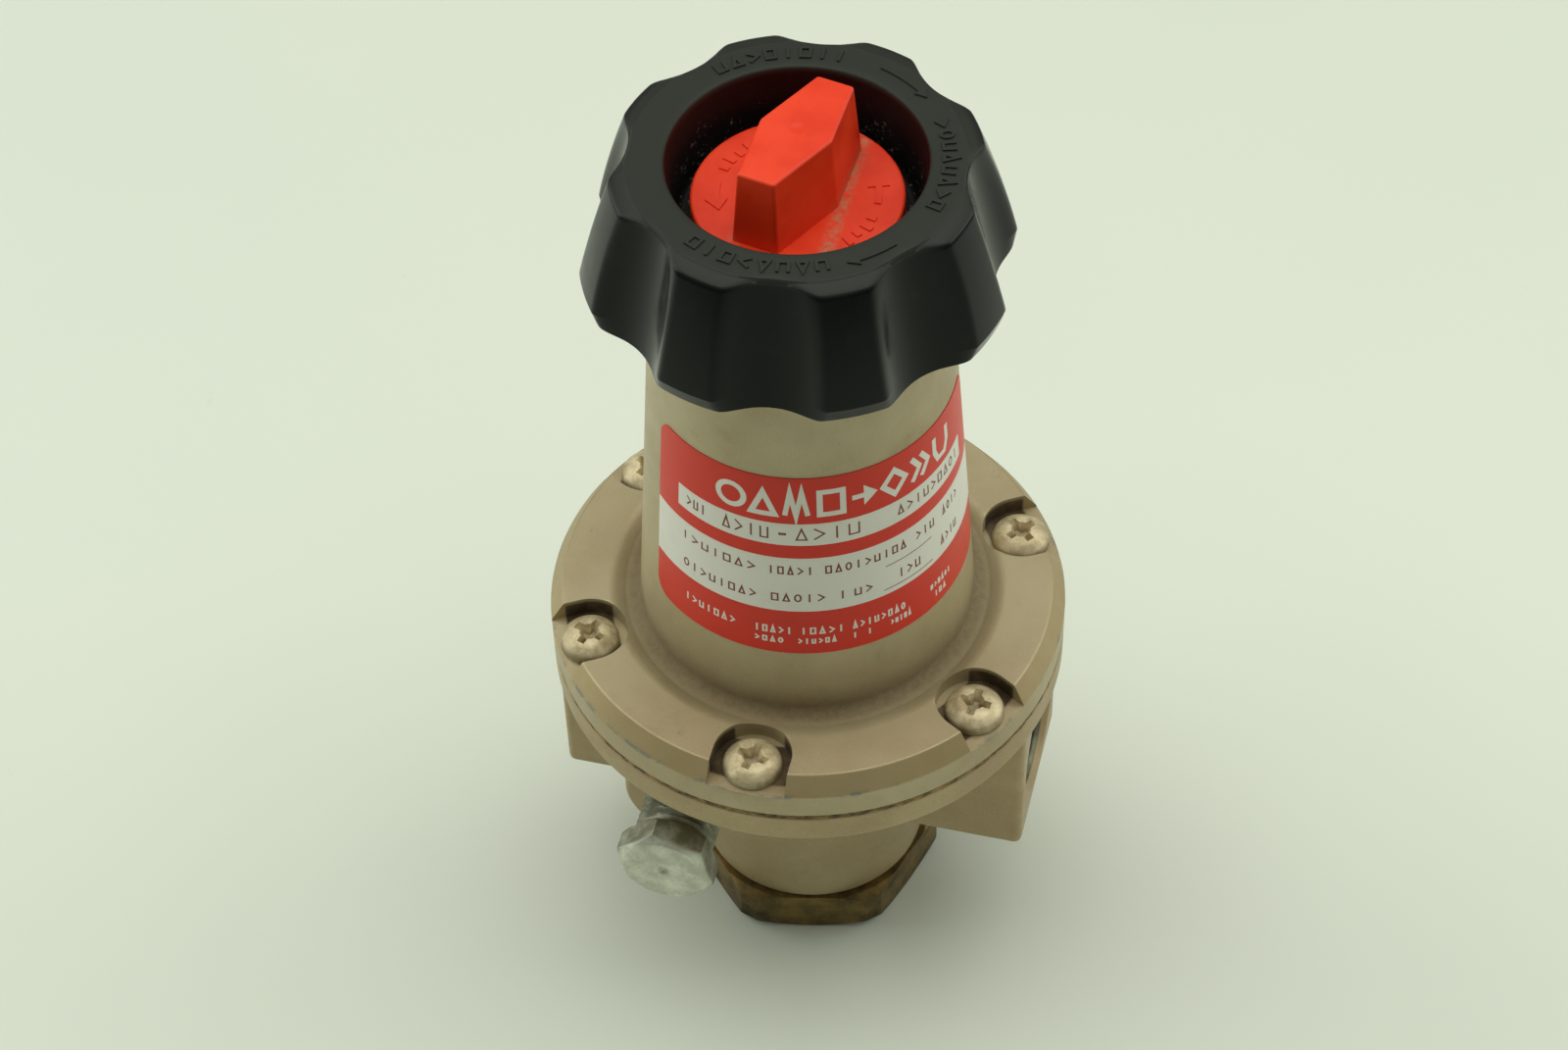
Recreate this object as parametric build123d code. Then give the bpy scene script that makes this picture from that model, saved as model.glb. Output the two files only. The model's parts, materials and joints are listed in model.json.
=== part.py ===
from build123d import *
import math
import os

# Air pressure regulator: a diaphragm regulator with a ported body, a spring bonnet and a
# hand knob that carries a small lock wing. Millimetres, +Z up. The origin is the centre of
# the bottom face of the bottom cap, +X runs along the port axis towards the inlet, and -Y
# is the front, where the gauge port plug stands out.

# Heights of the outer pieces
cap_hex_height = 8.3
boss_height = 19.7
block_height = 28.0
body_flange_thickness = 5.6
diaphragm_thickness = 0.8
bonnet_flange_height = 8.0
bonnet_height = 82.6

# Range spring, bonnet and flanges, from the inside outwards
spring_outer_radius = 17.0
spring_wire_radius = 1.9
spring_coils = 7.5
spring_room = 2.2
bonnet_top_wall = 2.55
bonnet_taper_angle = 3.77
bonnet_top_thickness = 7.0
cone_base_wall = 4.6
shoulder_width = 14.6
flange_chamfer_width = 2.1
flange_chamfer_height = 3.2
trough_depth = 1.0
lip_width = 2.8
lip_round = 0.8
vent_radius = 1.5
vent_rise = 17.6

# Flange screws
screw_count = 6
screw_first_angle = 30.0
screw_edge_distance = 5.3
screw_shank_radius = 2.4
screw_head_radius = 4.65
screw_head_height = 2.9
screw_head_side = 1.3
screw_notch_radius = 6.2
screw_notch_depth = 3.4
screw_hole_clearance = 0.3
recess_width = 1.25
recess_length = 5.6
recess_depth = 1.7

# Diaphragm and its plates
pan_edge_distance = 7.5
body_pan_depth = 3.2
bonnet_pan_height = 4.0
plate_margin = 2.6
lower_plate_thickness = 1.2
upper_plate_thickness = 1.6
plate_rim_height = 1.2
hub_radius = 4.9
hub_flange_radius = 9.0
hub_flange_thickness = 1.4
relief_hole_radius = 1.2
hub_nut_flats = 17.0
hub_nut_height = 4.0
hub_end_length = 1.2

# Body, valve chamber and ports
valve_chamber_radius = 13.0
boss_wall = 7.6
boss_taper = 1.8
seat_web_rise = 2.0
seat_web_thickness = 6.0
well_radius = 12.0
seat_outer_radius = 9.0
seat_hole_radius = 5.5
seat_lip_width = 0.8
seat_lip_height = 0.8
block_length = 77.4
block_width = 28.0
block_round = 1.5
port_radius = 10.2
port_depth = 14.0
port_chamfer = 0.8
core_radius = 8.2
chamber_wall = 3.5
inlet_passage_radius = 6.0
inlet_passage_drop = 6.0
outlet_riser_radius = 3.5

# Gauge ports and plugs
gauge_port_offset = 14.0
gauge_boss_radius = 10.5
gauge_boss_reach = 27.0
gauge_port_radius = 6.6
gauge_port_depth = 11.0
gauge_pilot_radius = 1.6
gauge_plug_flats = 14.3
gauge_plug_head_length = 4.6
gauge_plug_stand_out = 9.8
gauge_plug_engagement = 6.0
socket_plug_sink = 0.6
socket_plug_length = 8.0
socket_flats = 6.35
socket_depth = 5.0

# Bottom cap, valve and return spring
cap_face_width = 2.25
cap_hex_turn = -77.7
cap_hex_bevel = 1.4
cap_thread_step = 1.5
cap_thread_length = 9.0
cap_pocket_radius = 9.5
cap_pocket_depth = 7.3
guide_boss_radius = 5.0
guide_boss_height = 6.0
guide_hole_floor = 4.0
seal_groove_width = 2.45
seal_ring_radius = 1.1
stem_radius = 2.5
stem_end_height = 7.5
poppet_radius = 9.0
poppet_height = 4.0
poppet_seal_radius = 7.8
poppet_seal_height = 2.2
valve_spring_outer_radius = 7.5
valve_spring_wire_radius = 0.6
valve_spring_coils = 6.5

# Adjusting screw, spring nut and bearing
screw_thread_radius = 4.76
screw_thread_length = 22.5
screw_journal_radius = 6.0
collar_radius = 8.5
collar_height = 1.9
thrust_washer_thickness = 1.6
bushing_wall = 2.5
bushing_flange_radius = 10.5
bushing_flange_height = 1.0
nut_drop_gap = 2.5
nut_height = 9.0
nut_spigot_height = 4.0
nut_margin = 0.8
key_width = 3.0
key_height = 1.8
key_gap = 0.3

# Knob
knob_clearance = 1.95
knob_height = 21.1
knob_overlap = 3.0
knob_wall = 4.6
knob_lobe_height = 4.3
knob_lobe_taper = 6.3
knob_lobe_barrel = 0.6
knob_barrel_round = 80.0
knob_lobes = 8
knob_flute_angle = -84.2
knob_flute_radius = 11.0
knob_flute_taper = 4.4
knob_lower_bevel = 2.6
knob_edge_round = 0.9
knob_rim_width = 5.2
knob_cavity_height = 5.5
knob_web_thickness = 3.5
knob_hub_radius = 11.0
knob_hub_gap = 0.3
recess_floor_step = 1.6
drive_flats = 10.0
screw_end_radius = 5.0
screw_end_height = 2.2
ring_groove_depth = 0.8
ring_thickness = 1.0
ring_outer_radius = 7.2

# Lock button
lock_gap = 1.9
lock_skirt_gap = 0.3
lock_disc_rise = 5.1
lock_disc_thickness = 1.8
lock_skirt_wall = 1.6
wing_height = 12.4
wing_edge_gap = 3.9
wing_half_width = 5.4
wing_shoulder = 1.2
wing_flare = 0.5
wing_tip_offset = 0.35
wing_tip_slope = 1.1
wing_draft = 0.9
lock_stem_radius = 2.5
lock_stem_depth = 12.0
lock_stem_grip = 4.0
lock_insert_radius = 3.4
lock_insert_height = 2.4

# Nameplate
plate_low_rise = 21.2
plate_height = 37.6
plate_start_angle = -138.5
plate_sweep = 148.5
plate_thickness = 0.25
plate_corner_radius = 3.0

# Clearances
thread_gap = 0.05
running_gap = 0.05
fit_gap = 0.1

# Levels worked out from the heights, from the resting face upwards
block_bottom_z = cap_hex_height + boss_height
block_top_z = block_bottom_z + block_height
body_top_z = block_top_z + body_flange_thickness
bonnet_base_z = body_top_z + diaphragm_thickness
shoulder_z = bonnet_base_z + bonnet_flange_height
bonnet_top_z = bonnet_base_z + bonnet_height
port_z = block_bottom_z + block_height / 2
web_bottom_z = port_z + seat_web_rise
web_top_z = web_bottom_z + seat_web_thickness
pan_floor_z = body_top_z - body_pan_depth
cavity_top_z = bonnet_top_z - bonnet_top_thickness
notch_floor_z = shoulder_z - screw_notch_depth
bushing_top_z = bonnet_top_z + bushing_flange_height
hub_bottom_z = bushing_top_z + knob_hub_gap
knob_bottom_z = bonnet_top_z - knob_overlap
knob_top_z = knob_bottom_z + knob_height
cavity_roof_z = knob_bottom_z + knob_cavity_height
web_face_z = cavity_roof_z + knob_web_thickness
lock_disc_z = web_face_z + lock_disc_rise
lock_disc_under_z = lock_disc_z - lock_disc_thickness
washer_bottom_z = cavity_top_z - thrust_washer_thickness
collar_bottom_z = washer_bottom_z - collar_height
nut_top_z = collar_bottom_z - nut_drop_gap
nut_bottom_z = nut_top_z - nut_height
upper_plate_z = bonnet_base_z
spring_low_z = upper_plate_z + upper_plate_thickness
lower_plate_z = body_top_z - lower_plate_thickness
hub_low_z = lower_plate_z - hub_flange_thickness
seal_top_z = web_bottom_z - seat_lip_height
poppet_top_z = seal_top_z - poppet_seal_height
poppet_low_z = poppet_top_z - poppet_height
cap_thread_top_z = cap_hex_height + cap_thread_length
cap_pocket_z = cap_thread_top_z - cap_pocket_depth

# Radii worked out from the inside outwards
taper = math.tan(math.radians(bonnet_taper_angle))
cavity_radius = spring_outer_radius + spring_room
cone_top_radius = cavity_radius + bonnet_top_wall
cone_base_radius = cone_top_radius + taper * (bonnet_top_z - shoulder_z)
flange_radius = cone_base_radius + shoulder_width
screw_circle_radius = flange_radius - screw_edge_distance
pan_radius = screw_circle_radius - pan_edge_distance
plate_radius = pan_radius - plate_margin
boss_radius = valve_chamber_radius + boss_wall
cap_thread_radius = valve_chamber_radius + cap_thread_step
cap_hex_flats = 2 * (cap_thread_radius + seal_groove_width + cap_face_width)
core_end_x = valve_chamber_radius + chamber_wall
port_end_x = block_length / 2 - port_depth
cone_at_knob_radius = cone_top_radius + taper * knob_overlap
skirt_radius = cone_at_knob_radius + knob_clearance
flute_low_radius = skirt_radius + knob_wall
lobe_low_radius = flute_low_radius + knob_lobe_height
lobe_top_radius = lobe_low_radius - knob_lobe_taper
flute_top_radius = flute_low_radius - knob_flute_taper
recess_mouth_radius = flute_top_radius - knob_rim_width
recess_floor_radius = recess_mouth_radius - recess_floor_step
lock_disc_radius = recess_floor_radius - lock_gap
wing_half_length = lock_disc_radius - wing_edge_gap
bushing_radius = screw_journal_radius + running_gap + bushing_wall
gauge_plug_radius = gauge_port_radius - thread_gap
screw_end_z = web_face_z + screw_end_height
spring_inner_radius = spring_outer_radius - 2 * spring_wire_radius


def rod(radius, low, high):
    """A round solid on the Z axis between two levels."""
    return Pos(0, 0, low) * Cylinder(radius, high - low, align=(Align.CENTER, Align.CENTER, Align.MIN))


def ring(outer, inner, low, high):
    """A round washer on the Z axis between two levels."""
    return rod(outer, low, high) - rod(inner, low - 1, high + 1)


def cone(low_radius, high_radius, low, high):
    """A tapered round solid on the Z axis between two levels."""
    shape = Cone(low_radius, high_radius, high - low, align=(Align.CENTER, Align.CENTER, Align.MIN))
    return Pos(0, 0, low) * shape


def turned(points, rounds=(), arc=360.0):
    """A solid turned about Z from (radius, level) points, with some corners rounded."""
    profile = Polygon(*points, align=None)
    for corner, radius in rounds:
        vertex = profile.vertices().sort_by_distance(Vector(corner[0], corner[1], 0))[0]
        profile = fillet(vertex, radius)
    return revolve(Plane.XZ * profile, Axis.Z, arc)


def hexagon(flats, low, high, turn=0.0):
    """A hexagonal bar on the Z axis whose first flat faces the angle turn."""
    outline = RegularPolygon(flats / 2, 6, major_radius=False)
    return Pos(0, 0, low) * Rot(0, 0, turn + 30) * extrude(outline, high - low)


def along_front(shape):
    """Turn a shape built along +Z so that it points out of the front, along -Y."""
    return Rot(90, 0, 0) * shape


def coil_spring(outer_radius, wire_radius, coils, low, high):
    """A compression spring whose end coils are ground flat at the two levels."""
    pitch = (high - low) / coils
    path = Helix(pitch, high - low + 2 * wire_radius, outer_radius - wire_radius)
    path = Pos(0, 0, low - wire_radius) * path
    section = Plane(path @ 0, z_dir=path % 0) * Circle(wire_radius)
    wire = sweep(section, path, is_frenet=True)
    room = rod(outer_radius + wire_radius, low, high)
    return wire & room


def on_circle(shape, radius, count, first_angle):
    """Copies of a shape, spaced evenly round the Z axis."""
    step = 360.0 / count
    return [Rot(0, 0, first_angle + k * step) * Pos(radius, 0, 0) * shape for k in range(count)]


def port_cutter(side):
    """The threaded port and its plain core on one end of the block."""
    mouth_x = block_length / 2
    wide = rod(port_radius, port_end_x, mouth_x + 1)
    core = rod(core_radius, core_end_x, port_end_x + 1)
    lead_in = cone(port_radius, port_radius + port_chamfer, mouth_x - port_chamfer, mouth_x)
    return Pos(0, 0, port_z) * Rot(0, 90 * side, 0) * (wide + core + lead_in)


def gauge_cutter(side):
    """A gauge port and the slanted pilot that joins it to the outlet core, front or rear."""
    bore_floor = gauge_boss_reach - gauge_port_depth
    bore = along_front(rod(gauge_port_radius, bore_floor, gauge_boss_reach + 1))
    bore = Pos(-gauge_port_offset, 0, port_z) * bore
    start = Vector(-gauge_port_offset, -bore_floor - 1, port_z)
    target = Vector(-(core_end_x + port_end_x) / 2, -core_radius / 2, port_z)
    run = target - start
    pilot = Plane(start, z_dir=run) * Cylinder(
        gauge_pilot_radius, run.length, align=(Align.CENTER, Align.CENTER, Align.MIN)
    )
    cutter = bore + pilot
    return cutter if side < 0 else mirror(cutter, Plane.XZ)


def gauge_boss(side):
    """The cast pad round a gauge port: round below, with straight sides up to the flange."""
    barrel = along_front(rod(gauge_boss_radius, 0, gauge_boss_reach))
    upper = Pos(0, -gauge_boss_reach / 2, (block_top_z - port_z) / 2) * Box(
        2 * gauge_boss_radius, gauge_boss_reach, block_top_z - port_z
    )
    pad = Pos(-gauge_port_offset, 0, port_z) * (barrel + upper)
    return pad if side < 0 else mirror(pad, Plane.XZ)


def make_body():
    flange = turned(
        [(0, block_top_z), (flange_radius, block_top_z), (flange_radius, body_top_z), (0, body_top_z)],
        [((flange_radius, block_top_z), 0.8)],
    )
    block = Pos(0, 0, block_bottom_z + block_height / 2) * Box(block_length, block_width, block_height)
    block = fillet(block.edges().filter_by(Axis.Z), block_round)
    lower_boss = cone(boss_radius - boss_taper, boss_radius, cap_hex_height, block_bottom_z)
    upper_boss = rod(boss_radius, block_bottom_z, block_top_z)
    body = flange + block + lower_boss + upper_boss + gauge_boss(-1) + gauge_boss(1)
    body -= rod(cap_thread_radius, cap_hex_height - 1, cap_thread_top_z + 1)
    body -= rod(valve_chamber_radius, cap_thread_top_z, web_bottom_z)
    groove_outer = cap_thread_radius + seal_groove_width
    body -= rod(groove_outer, cap_hex_height - 1, cap_hex_height + 2 * seal_ring_radius)
    body -= rod(seat_outer_radius, web_bottom_z - 1, web_top_z + 1)
    body -= rod(well_radius, web_top_z, body_top_z)
    body -= rod(pan_radius, pan_floor_z, body_top_z + 1)
    body -= port_cutter(1)
    body -= port_cutter(-1)
    inlet = rod(inlet_passage_radius, valve_chamber_radius - 2, core_end_x + 1)
    body -= Pos(0, 0, port_z - inlet_passage_drop) * Rot(0, 90, 0) * inlet
    riser_x = -(core_end_x + port_end_x) / 2
    body -= Pos(riser_x, 0, 0) * rod(outlet_riser_radius, port_z, body_top_z)
    for side in (-1, 1):
        body -= gauge_cutter(side)
    hole = rod(screw_shank_radius + thread_gap, block_top_z - 1, body_top_z + 1)
    for cutter in on_circle(hole, screw_circle_radius, screw_count, screw_first_angle):
        body -= cutter
    return body


def bonnet_outline():
    """The turned outside and inside of the bonnet as (radius, level) points."""
    trough_z = shoulder_z - trough_depth
    slope_out = taper * trough_depth
    pan_top_z = bonnet_base_z + bonnet_pan_height
    key_base_z = nut_bottom_z - nut_spigot_height - nut_height
    return [
        (pan_radius, bonnet_base_z),
        (flange_radius, bonnet_base_z),
        (flange_radius, shoulder_z - flange_chamfer_height),
        (flange_radius - flange_chamfer_width, shoulder_z),
        (cone_base_radius + lip_width, shoulder_z),
        (cone_base_radius + lip_width - 0.2, trough_z),
        (cone_base_radius + slope_out, trough_z),
        (cone_top_radius, bonnet_top_z),
        (bushing_radius, bonnet_top_z),
        (bushing_radius, cavity_top_z),
        (cavity_radius, cavity_top_z),
        (cavity_radius, key_base_z),
        (cone_base_radius - cone_base_wall, pan_top_z),
        (pan_radius, pan_top_z),
    ]


def make_bonnet():
    outline = bonnet_outline()
    rounds = [
        (outline[3], 0.5),
        (outline[4], lip_round),
        (outline[6], 1.9),
        (outline[7], 1.2),
        (outline[10], 1.5),
    ]
    bonnet = turned(outline, rounds)
    key_low = nut_bottom_z - nut_spigot_height - nut_height
    key_reach = cavity_radius - key_height
    key = Pos(key_reach + key_height, 0, key_low) * Box(
        2 * key_height, key_width, cavity_top_z - key_low, align=(Align.CENTER, Align.CENTER, Align.MIN)
    )
    for rib in on_circle(key, 0, 2, 90.0):
        bonnet += rib
    notch = rod(screw_notch_radius, notch_floor_z, shoulder_z + 2)
    reach = screw_edge_distance + 2
    notch += Pos(0, 0, notch_floor_z) * Box(
        reach, 2 * screw_notch_radius, screw_notch_depth + 2, align=(Align.MIN, Align.CENTER, Align.MIN)
    )
    notch += rod(screw_shank_radius + screw_hole_clearance, bonnet_base_z - 1, notch_floor_z + 1)
    for cutter in on_circle(notch, screw_circle_radius, screw_count, screw_first_angle):
        bonnet -= cutter
    vent = Rot(90, 0, 0) * Pos(0, 0, -flange_radius) * Cylinder(
        vent_radius, flange_radius, align=(Align.CENTER, Align.CENTER, Align.MIN)
    )
    bonnet -= Pos(0, 0, bonnet_base_z + vent_rise) * vent
    return bonnet


def make_flange_screw(turn):
    """A pan-head screw with a cross recess, head down on the notch floor."""
    top = notch_floor_z + screw_head_height
    side = notch_floor_z + screw_head_side
    crown = screw_head_radius * 0.55
    head = turned(
        [
            (0, notch_floor_z),
            (screw_head_radius, notch_floor_z),
            (screw_head_radius, side),
            (crown, top),
            (0, top),
        ],
        [((screw_head_radius, side), 1.2), ((crown, top), 1.6)],
    )
    shank = rod(screw_shank_radius, block_top_z + 0.2, notch_floor_z)
    slot = Pos(0, 0, top - recess_depth) * Box(
        recess_length, recess_width, recess_depth + 1, align=(Align.CENTER, Align.CENTER, Align.MIN)
    )
    centre = cone(recess_width * 0.5, recess_width * 1.1, top - recess_depth, top)
    return head + shank - Rot(0, 0, turn) * (slot + Rot(0, 0, 90) * slot + centre)


def make_bonnet_screws():
    step = 360.0 / screw_count
    screws = []
    for k in range(screw_count):
        place = Rot(0, 0, screw_first_angle + k * step) * Pos(screw_circle_radius, 0, 0)
        screws.append(place * make_flange_screw(19.0 + 37.0 * k))
    return Compound(children=screws)


def make_bottom_cap():
    corner = cap_hex_flats / math.sqrt(3)
    blank = hexagon(cap_hex_flats, 0, cap_hex_height, cap_hex_turn)
    bevel = cap_hex_bevel
    rim = corner - 0.9
    turned_blank = turned(
        [
            (0, 0),
            (rim - 2 * bevel, 0),
            (rim, bevel),
            (rim, cap_hex_height - bevel / 2),
            (rim - bevel, cap_hex_height),
            (0, cap_hex_height),
        ]
    )
    cap = blank & turned_blank
    cap += rod(cap_thread_radius - thread_gap, cap_hex_height, cap_thread_top_z)
    cap -= rod(cap_pocket_radius, cap_pocket_z, cap_thread_top_z + 1)
    cap += rod(guide_boss_radius, cap_pocket_z, cap_pocket_z + guide_boss_height)
    cap -= rod(stem_radius + running_gap, guide_hole_floor, cap_thread_top_z)
    return cap


def make_bottom_cap_seal():
    middle = cap_thread_radius + seal_groove_width / 2
    return Pos(0, 0, cap_hex_height + seal_ring_radius) * Torus(middle, seal_ring_radius)


def make_gauge_port_plug():
    """A hexagon head pipe plug that stands out of the front gauge port."""
    corner = gauge_plug_flats / math.sqrt(3)
    head_low = gauge_boss_reach + gauge_plug_stand_out
    head_high = head_low + gauge_plug_head_length
    face = gauge_plug_flats / 2
    turned_head = turned(
        [
            (0, head_low),
            (corner - 0.5, head_low),
            (corner, head_low + 0.4),
            (corner, head_high - 0.9),
            (face, head_high),
            (0, head_high),
        ]
    )
    head = hexagon(gauge_plug_flats, head_low, head_high, 12.0) & turned_head
    thread = rod(gauge_plug_radius, gauge_boss_reach - gauge_plug_engagement, head_low)
    return Pos(-gauge_port_offset, 0, port_z) * along_front(head + thread)


def make_rear_gauge_plug():
    """A socket pipe plug sunk a little below the face of the rear gauge port."""
    outer = gauge_boss_reach - socket_plug_sink
    plug = rod(gauge_plug_radius, outer - socket_plug_length, outer)
    plug -= hexagon(socket_flats, outer - socket_depth, outer + 1)
    plug -= cone(socket_flats / 2, socket_flats / 2 + 0.8, outer - 0.8, outer)
    placed = Pos(-gauge_port_offset, 0, port_z) * along_front(plug)
    return mirror(placed, Plane.XZ)


def make_valve_seat():
    seat = ring(seat_outer_radius - thread_gap, seat_hole_radius, web_bottom_z, web_top_z)
    seat += ring(seat_hole_radius + seat_lip_width, seat_hole_radius, seal_top_z, web_bottom_z)
    slot = Pos(0, 0, web_top_z - 1.5) * Box(
        2 * seat_outer_radius + 2, 2.0, 3.0, align=(Align.CENTER, Align.CENTER, Align.MIN)
    )
    return seat - slot


def make_diaphragm():
    sheet = ring(flange_radius, hub_radius + thread_gap, body_top_z, bonnet_base_z)
    hole = rod(screw_shank_radius + screw_hole_clearance, body_top_z - 1, bonnet_base_z + 1)
    for cutter in on_circle(hole, screw_circle_radius, screw_count, screw_first_angle):
        sheet -= cutter
    return sheet


def make_upper_plate():
    plate = ring(plate_radius, hub_radius + thread_gap, upper_plate_z, spring_low_z)
    rim_inner = plate_radius - upper_plate_thickness
    return plate + ring(plate_radius, rim_inner, spring_low_z, spring_low_z + plate_rim_height)


def make_lower_plate():
    return ring(plate_radius - 1.0, hub_radius + thread_gap, lower_plate_z, body_top_z)


def make_relief_hub():
    top = spring_low_z + hub_nut_height + hub_end_length
    hub = rod(hub_flange_radius, hub_low_z, lower_plate_z) + rod(hub_radius, lower_plate_z, top)
    return hub - rod(relief_hole_radius, hub_low_z - 1, top + 1)


def make_hub_nut():
    nut = hexagon(hub_nut_flats, spring_low_z, spring_low_z + hub_nut_height)
    return nut - rod(hub_radius + thread_gap, spring_low_z - 1, spring_low_z + hub_nut_height + 1)


def make_range_spring():
    return coil_spring(spring_outer_radius, spring_wire_radius, spring_coils, spring_low_z, nut_bottom_z)


def make_spring_nut():
    radius = cavity_radius - nut_margin
    nut = rod(radius, nut_bottom_z, nut_top_z)
    nut = chamfer(nut.edges().filter_by(GeomType.CIRCLE), 0.8)
    nut += rod(spring_inner_radius - 0.3, nut_bottom_z - nut_spigot_height, nut_bottom_z)
    nut -= rod(screw_thread_radius + running_gap, nut_bottom_z - nut_spigot_height - 1, nut_top_z + 1)
    slot_floor = cavity_radius - key_height - key_gap
    slot = Pos(slot_floor, 0, nut_bottom_z - 1) * Box(
        2 * key_height, key_width + 2 * key_gap, nut_height + 2, align=(Align.MIN, Align.CENTER, Align.MIN)
    )
    for cutter in on_circle(slot, 0, 2, 90.0):
        nut -= cutter
    return nut


def make_adjusting_screw():
    end_z = collar_bottom_z - screw_thread_length
    screw = rod(screw_thread_radius, end_z, collar_bottom_z)
    screw = chamfer(screw.edges().filter_by(GeomType.CIRCLE).sort_by(Axis.Z)[0], 0.8)
    screw += rod(collar_radius, collar_bottom_z, washer_bottom_z)
    screw += rod(screw_journal_radius, washer_bottom_z, bushing_top_z)
    screw += hexagon(drive_flats, bushing_top_z, web_face_z)
    groove_radius = screw_end_radius - ring_groove_depth
    screw += rod(groove_radius, web_face_z, web_face_z + ring_thickness)
    screw += rod(screw_end_radius, web_face_z + ring_thickness, screw_end_z)
    bore_floor = screw_end_z - lock_stem_depth - 1
    return screw - rod(lock_stem_radius + running_gap, bore_floor, screw_end_z + 1)


def make_thrust_washer():
    return ring(collar_radius + 0.5, screw_journal_radius + 0.3, washer_bottom_z, cavity_top_z)


def make_bonnet_bushing():
    bore = screw_journal_radius + running_gap
    bushing = ring(bushing_radius - 0.02, bore, cavity_top_z, bonnet_top_z)
    return bushing + ring(bushing_flange_radius, bore, bonnet_top_z, bushing_top_z)


def make_knob():
    bevel_z = knob_bottom_z + knob_lower_bevel
    bevel_radius = lobe_low_radius - knob_lobe_taper * knob_lower_bevel / knob_height
    middle = ((bevel_radius + lobe_top_radius) / 2 + knob_lobe_barrel, (bevel_z + knob_top_z) / 2)
    shell = turned(
        [
            (0, knob_bottom_z),
            (lobe_low_radius - 1.3, knob_bottom_z),
            (bevel_radius, bevel_z),
            middle,
            (lobe_top_radius, knob_top_z),
            (0, knob_top_z),
        ],
        [(middle, knob_barrel_round), ((lobe_top_radius, knob_top_z), knob_edge_round)],
    )
    flute = Pos(0, 0, -knob_height) * Cylinder(
        knob_flute_radius, 3 * knob_height, align=(Align.CENTER, Align.CENTER, Align.MIN)
    )
    tilt = -math.degrees(math.atan(knob_flute_taper / knob_height))
    flute = Rot(0, tilt, 0) * flute
    reach = flute_low_radius + knob_flute_radius / math.cos(math.radians(tilt))
    flute = Pos(0, 0, knob_bottom_z) * flute
    for cutter in on_circle(flute, reach, knob_lobes, knob_flute_angle):
        shell -= cutter
    knob = shell - cone(recess_floor_radius, recess_mouth_radius, web_face_z, knob_top_z)
    knob -= ring(skirt_radius, knob_hub_radius, knob_bottom_z - 1, cavity_roof_z)
    knob -= rod(knob_hub_radius, knob_bottom_z - 1, hub_bottom_z)
    return knob - hexagon(drive_flats + 2 * fit_gap, hub_bottom_z - 1, web_face_z + 1)


def make_retaining_ring():
    inner = screw_end_radius - ring_groove_depth
    clip = ring(ring_outer_radius, inner, web_face_z, web_face_z + ring_thickness)
    gap = Pos(ring_outer_radius / 2 + 2, 0, web_face_z) * Box(
        ring_outer_radius, 3.0, 4.0, align=(Align.CENTER, Align.CENTER, Align.CENTER)
    )
    return clip - gap


def make_lock_button():
    skirt_low = web_face_z + lock_skirt_gap
    cup = rod(lock_disc_radius, skirt_low, lock_disc_z)
    cup = fillet(cup.edges().filter_by(GeomType.CIRCLE).sort_by(Axis.Z)[-1], 0.5)
    cup -= rod(lock_disc_radius - lock_skirt_wall, skirt_low - 1, lock_disc_under_z)
    half = wing_half_length
    side = [
        (wing_half_width, -wing_shoulder),
        (wing_half_width + wing_flare, half - wing_tip_slope),
        (wing_tip_offset, half),
    ]
    outline = side + [(-x, -y) for x, y in side]
    top = Pos(0, 0, lock_disc_z + wing_height) * Polygon(*outline, align=None)
    foot = Pos(0, 0, lock_disc_z - 0.5) * offset(
        Polygon(*outline, align=None), wing_draft, kind=Kind.INTERSECTION
    )
    wing = loft([foot.face(), top.face()])
    button = cup + wing
    button -= rod(lock_stem_radius, lock_disc_under_z - 1, lock_disc_under_z + lock_stem_grip)
    insert_low = lock_disc_under_z + lock_stem_grip - lock_insert_height
    return button - rod(lock_insert_radius, insert_low, lock_disc_under_z + lock_stem_grip)


def make_lock_stem():
    top = lock_disc_under_z + lock_stem_grip
    stem = rod(lock_stem_radius, screw_end_z - lock_stem_depth, top)
    return stem + rod(lock_insert_radius, top - lock_insert_height, top)


def make_valve_stem():
    stem = rod(stem_radius, stem_end_height, hub_low_z)
    return chamfer(stem.edges().filter_by(GeomType.CIRCLE), 0.4)


def make_valve_poppet():
    poppet = ring(poppet_radius, stem_radius, poppet_low_z, poppet_top_z)
    return fillet(poppet.edges().filter_by(GeomType.CIRCLE).sort_by(Axis.Z)[0:2], 0.4)


def make_poppet_seal():
    return ring(poppet_seal_radius, stem_radius, poppet_top_z, seal_top_z)


def make_valve_spring():
    return coil_spring(
        valve_spring_outer_radius, valve_spring_wire_radius, valve_spring_coils, cap_pocket_z, poppet_low_z
    )


def plate_corner_cutter(inward, up):
    """What rounds one corner of the nameplate: a square less a quarter disc, pointing along +X."""
    size = plate_corner_radius
    square = Pos(inward * (size - 1) / 2, up * (size - 1) / 2) * Rectangle(size + 1, size + 1)
    disc = Pos(inward * size, up * size) * Circle(size)
    return extrude(Plane.YZ * (square - disc), 3)


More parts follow.
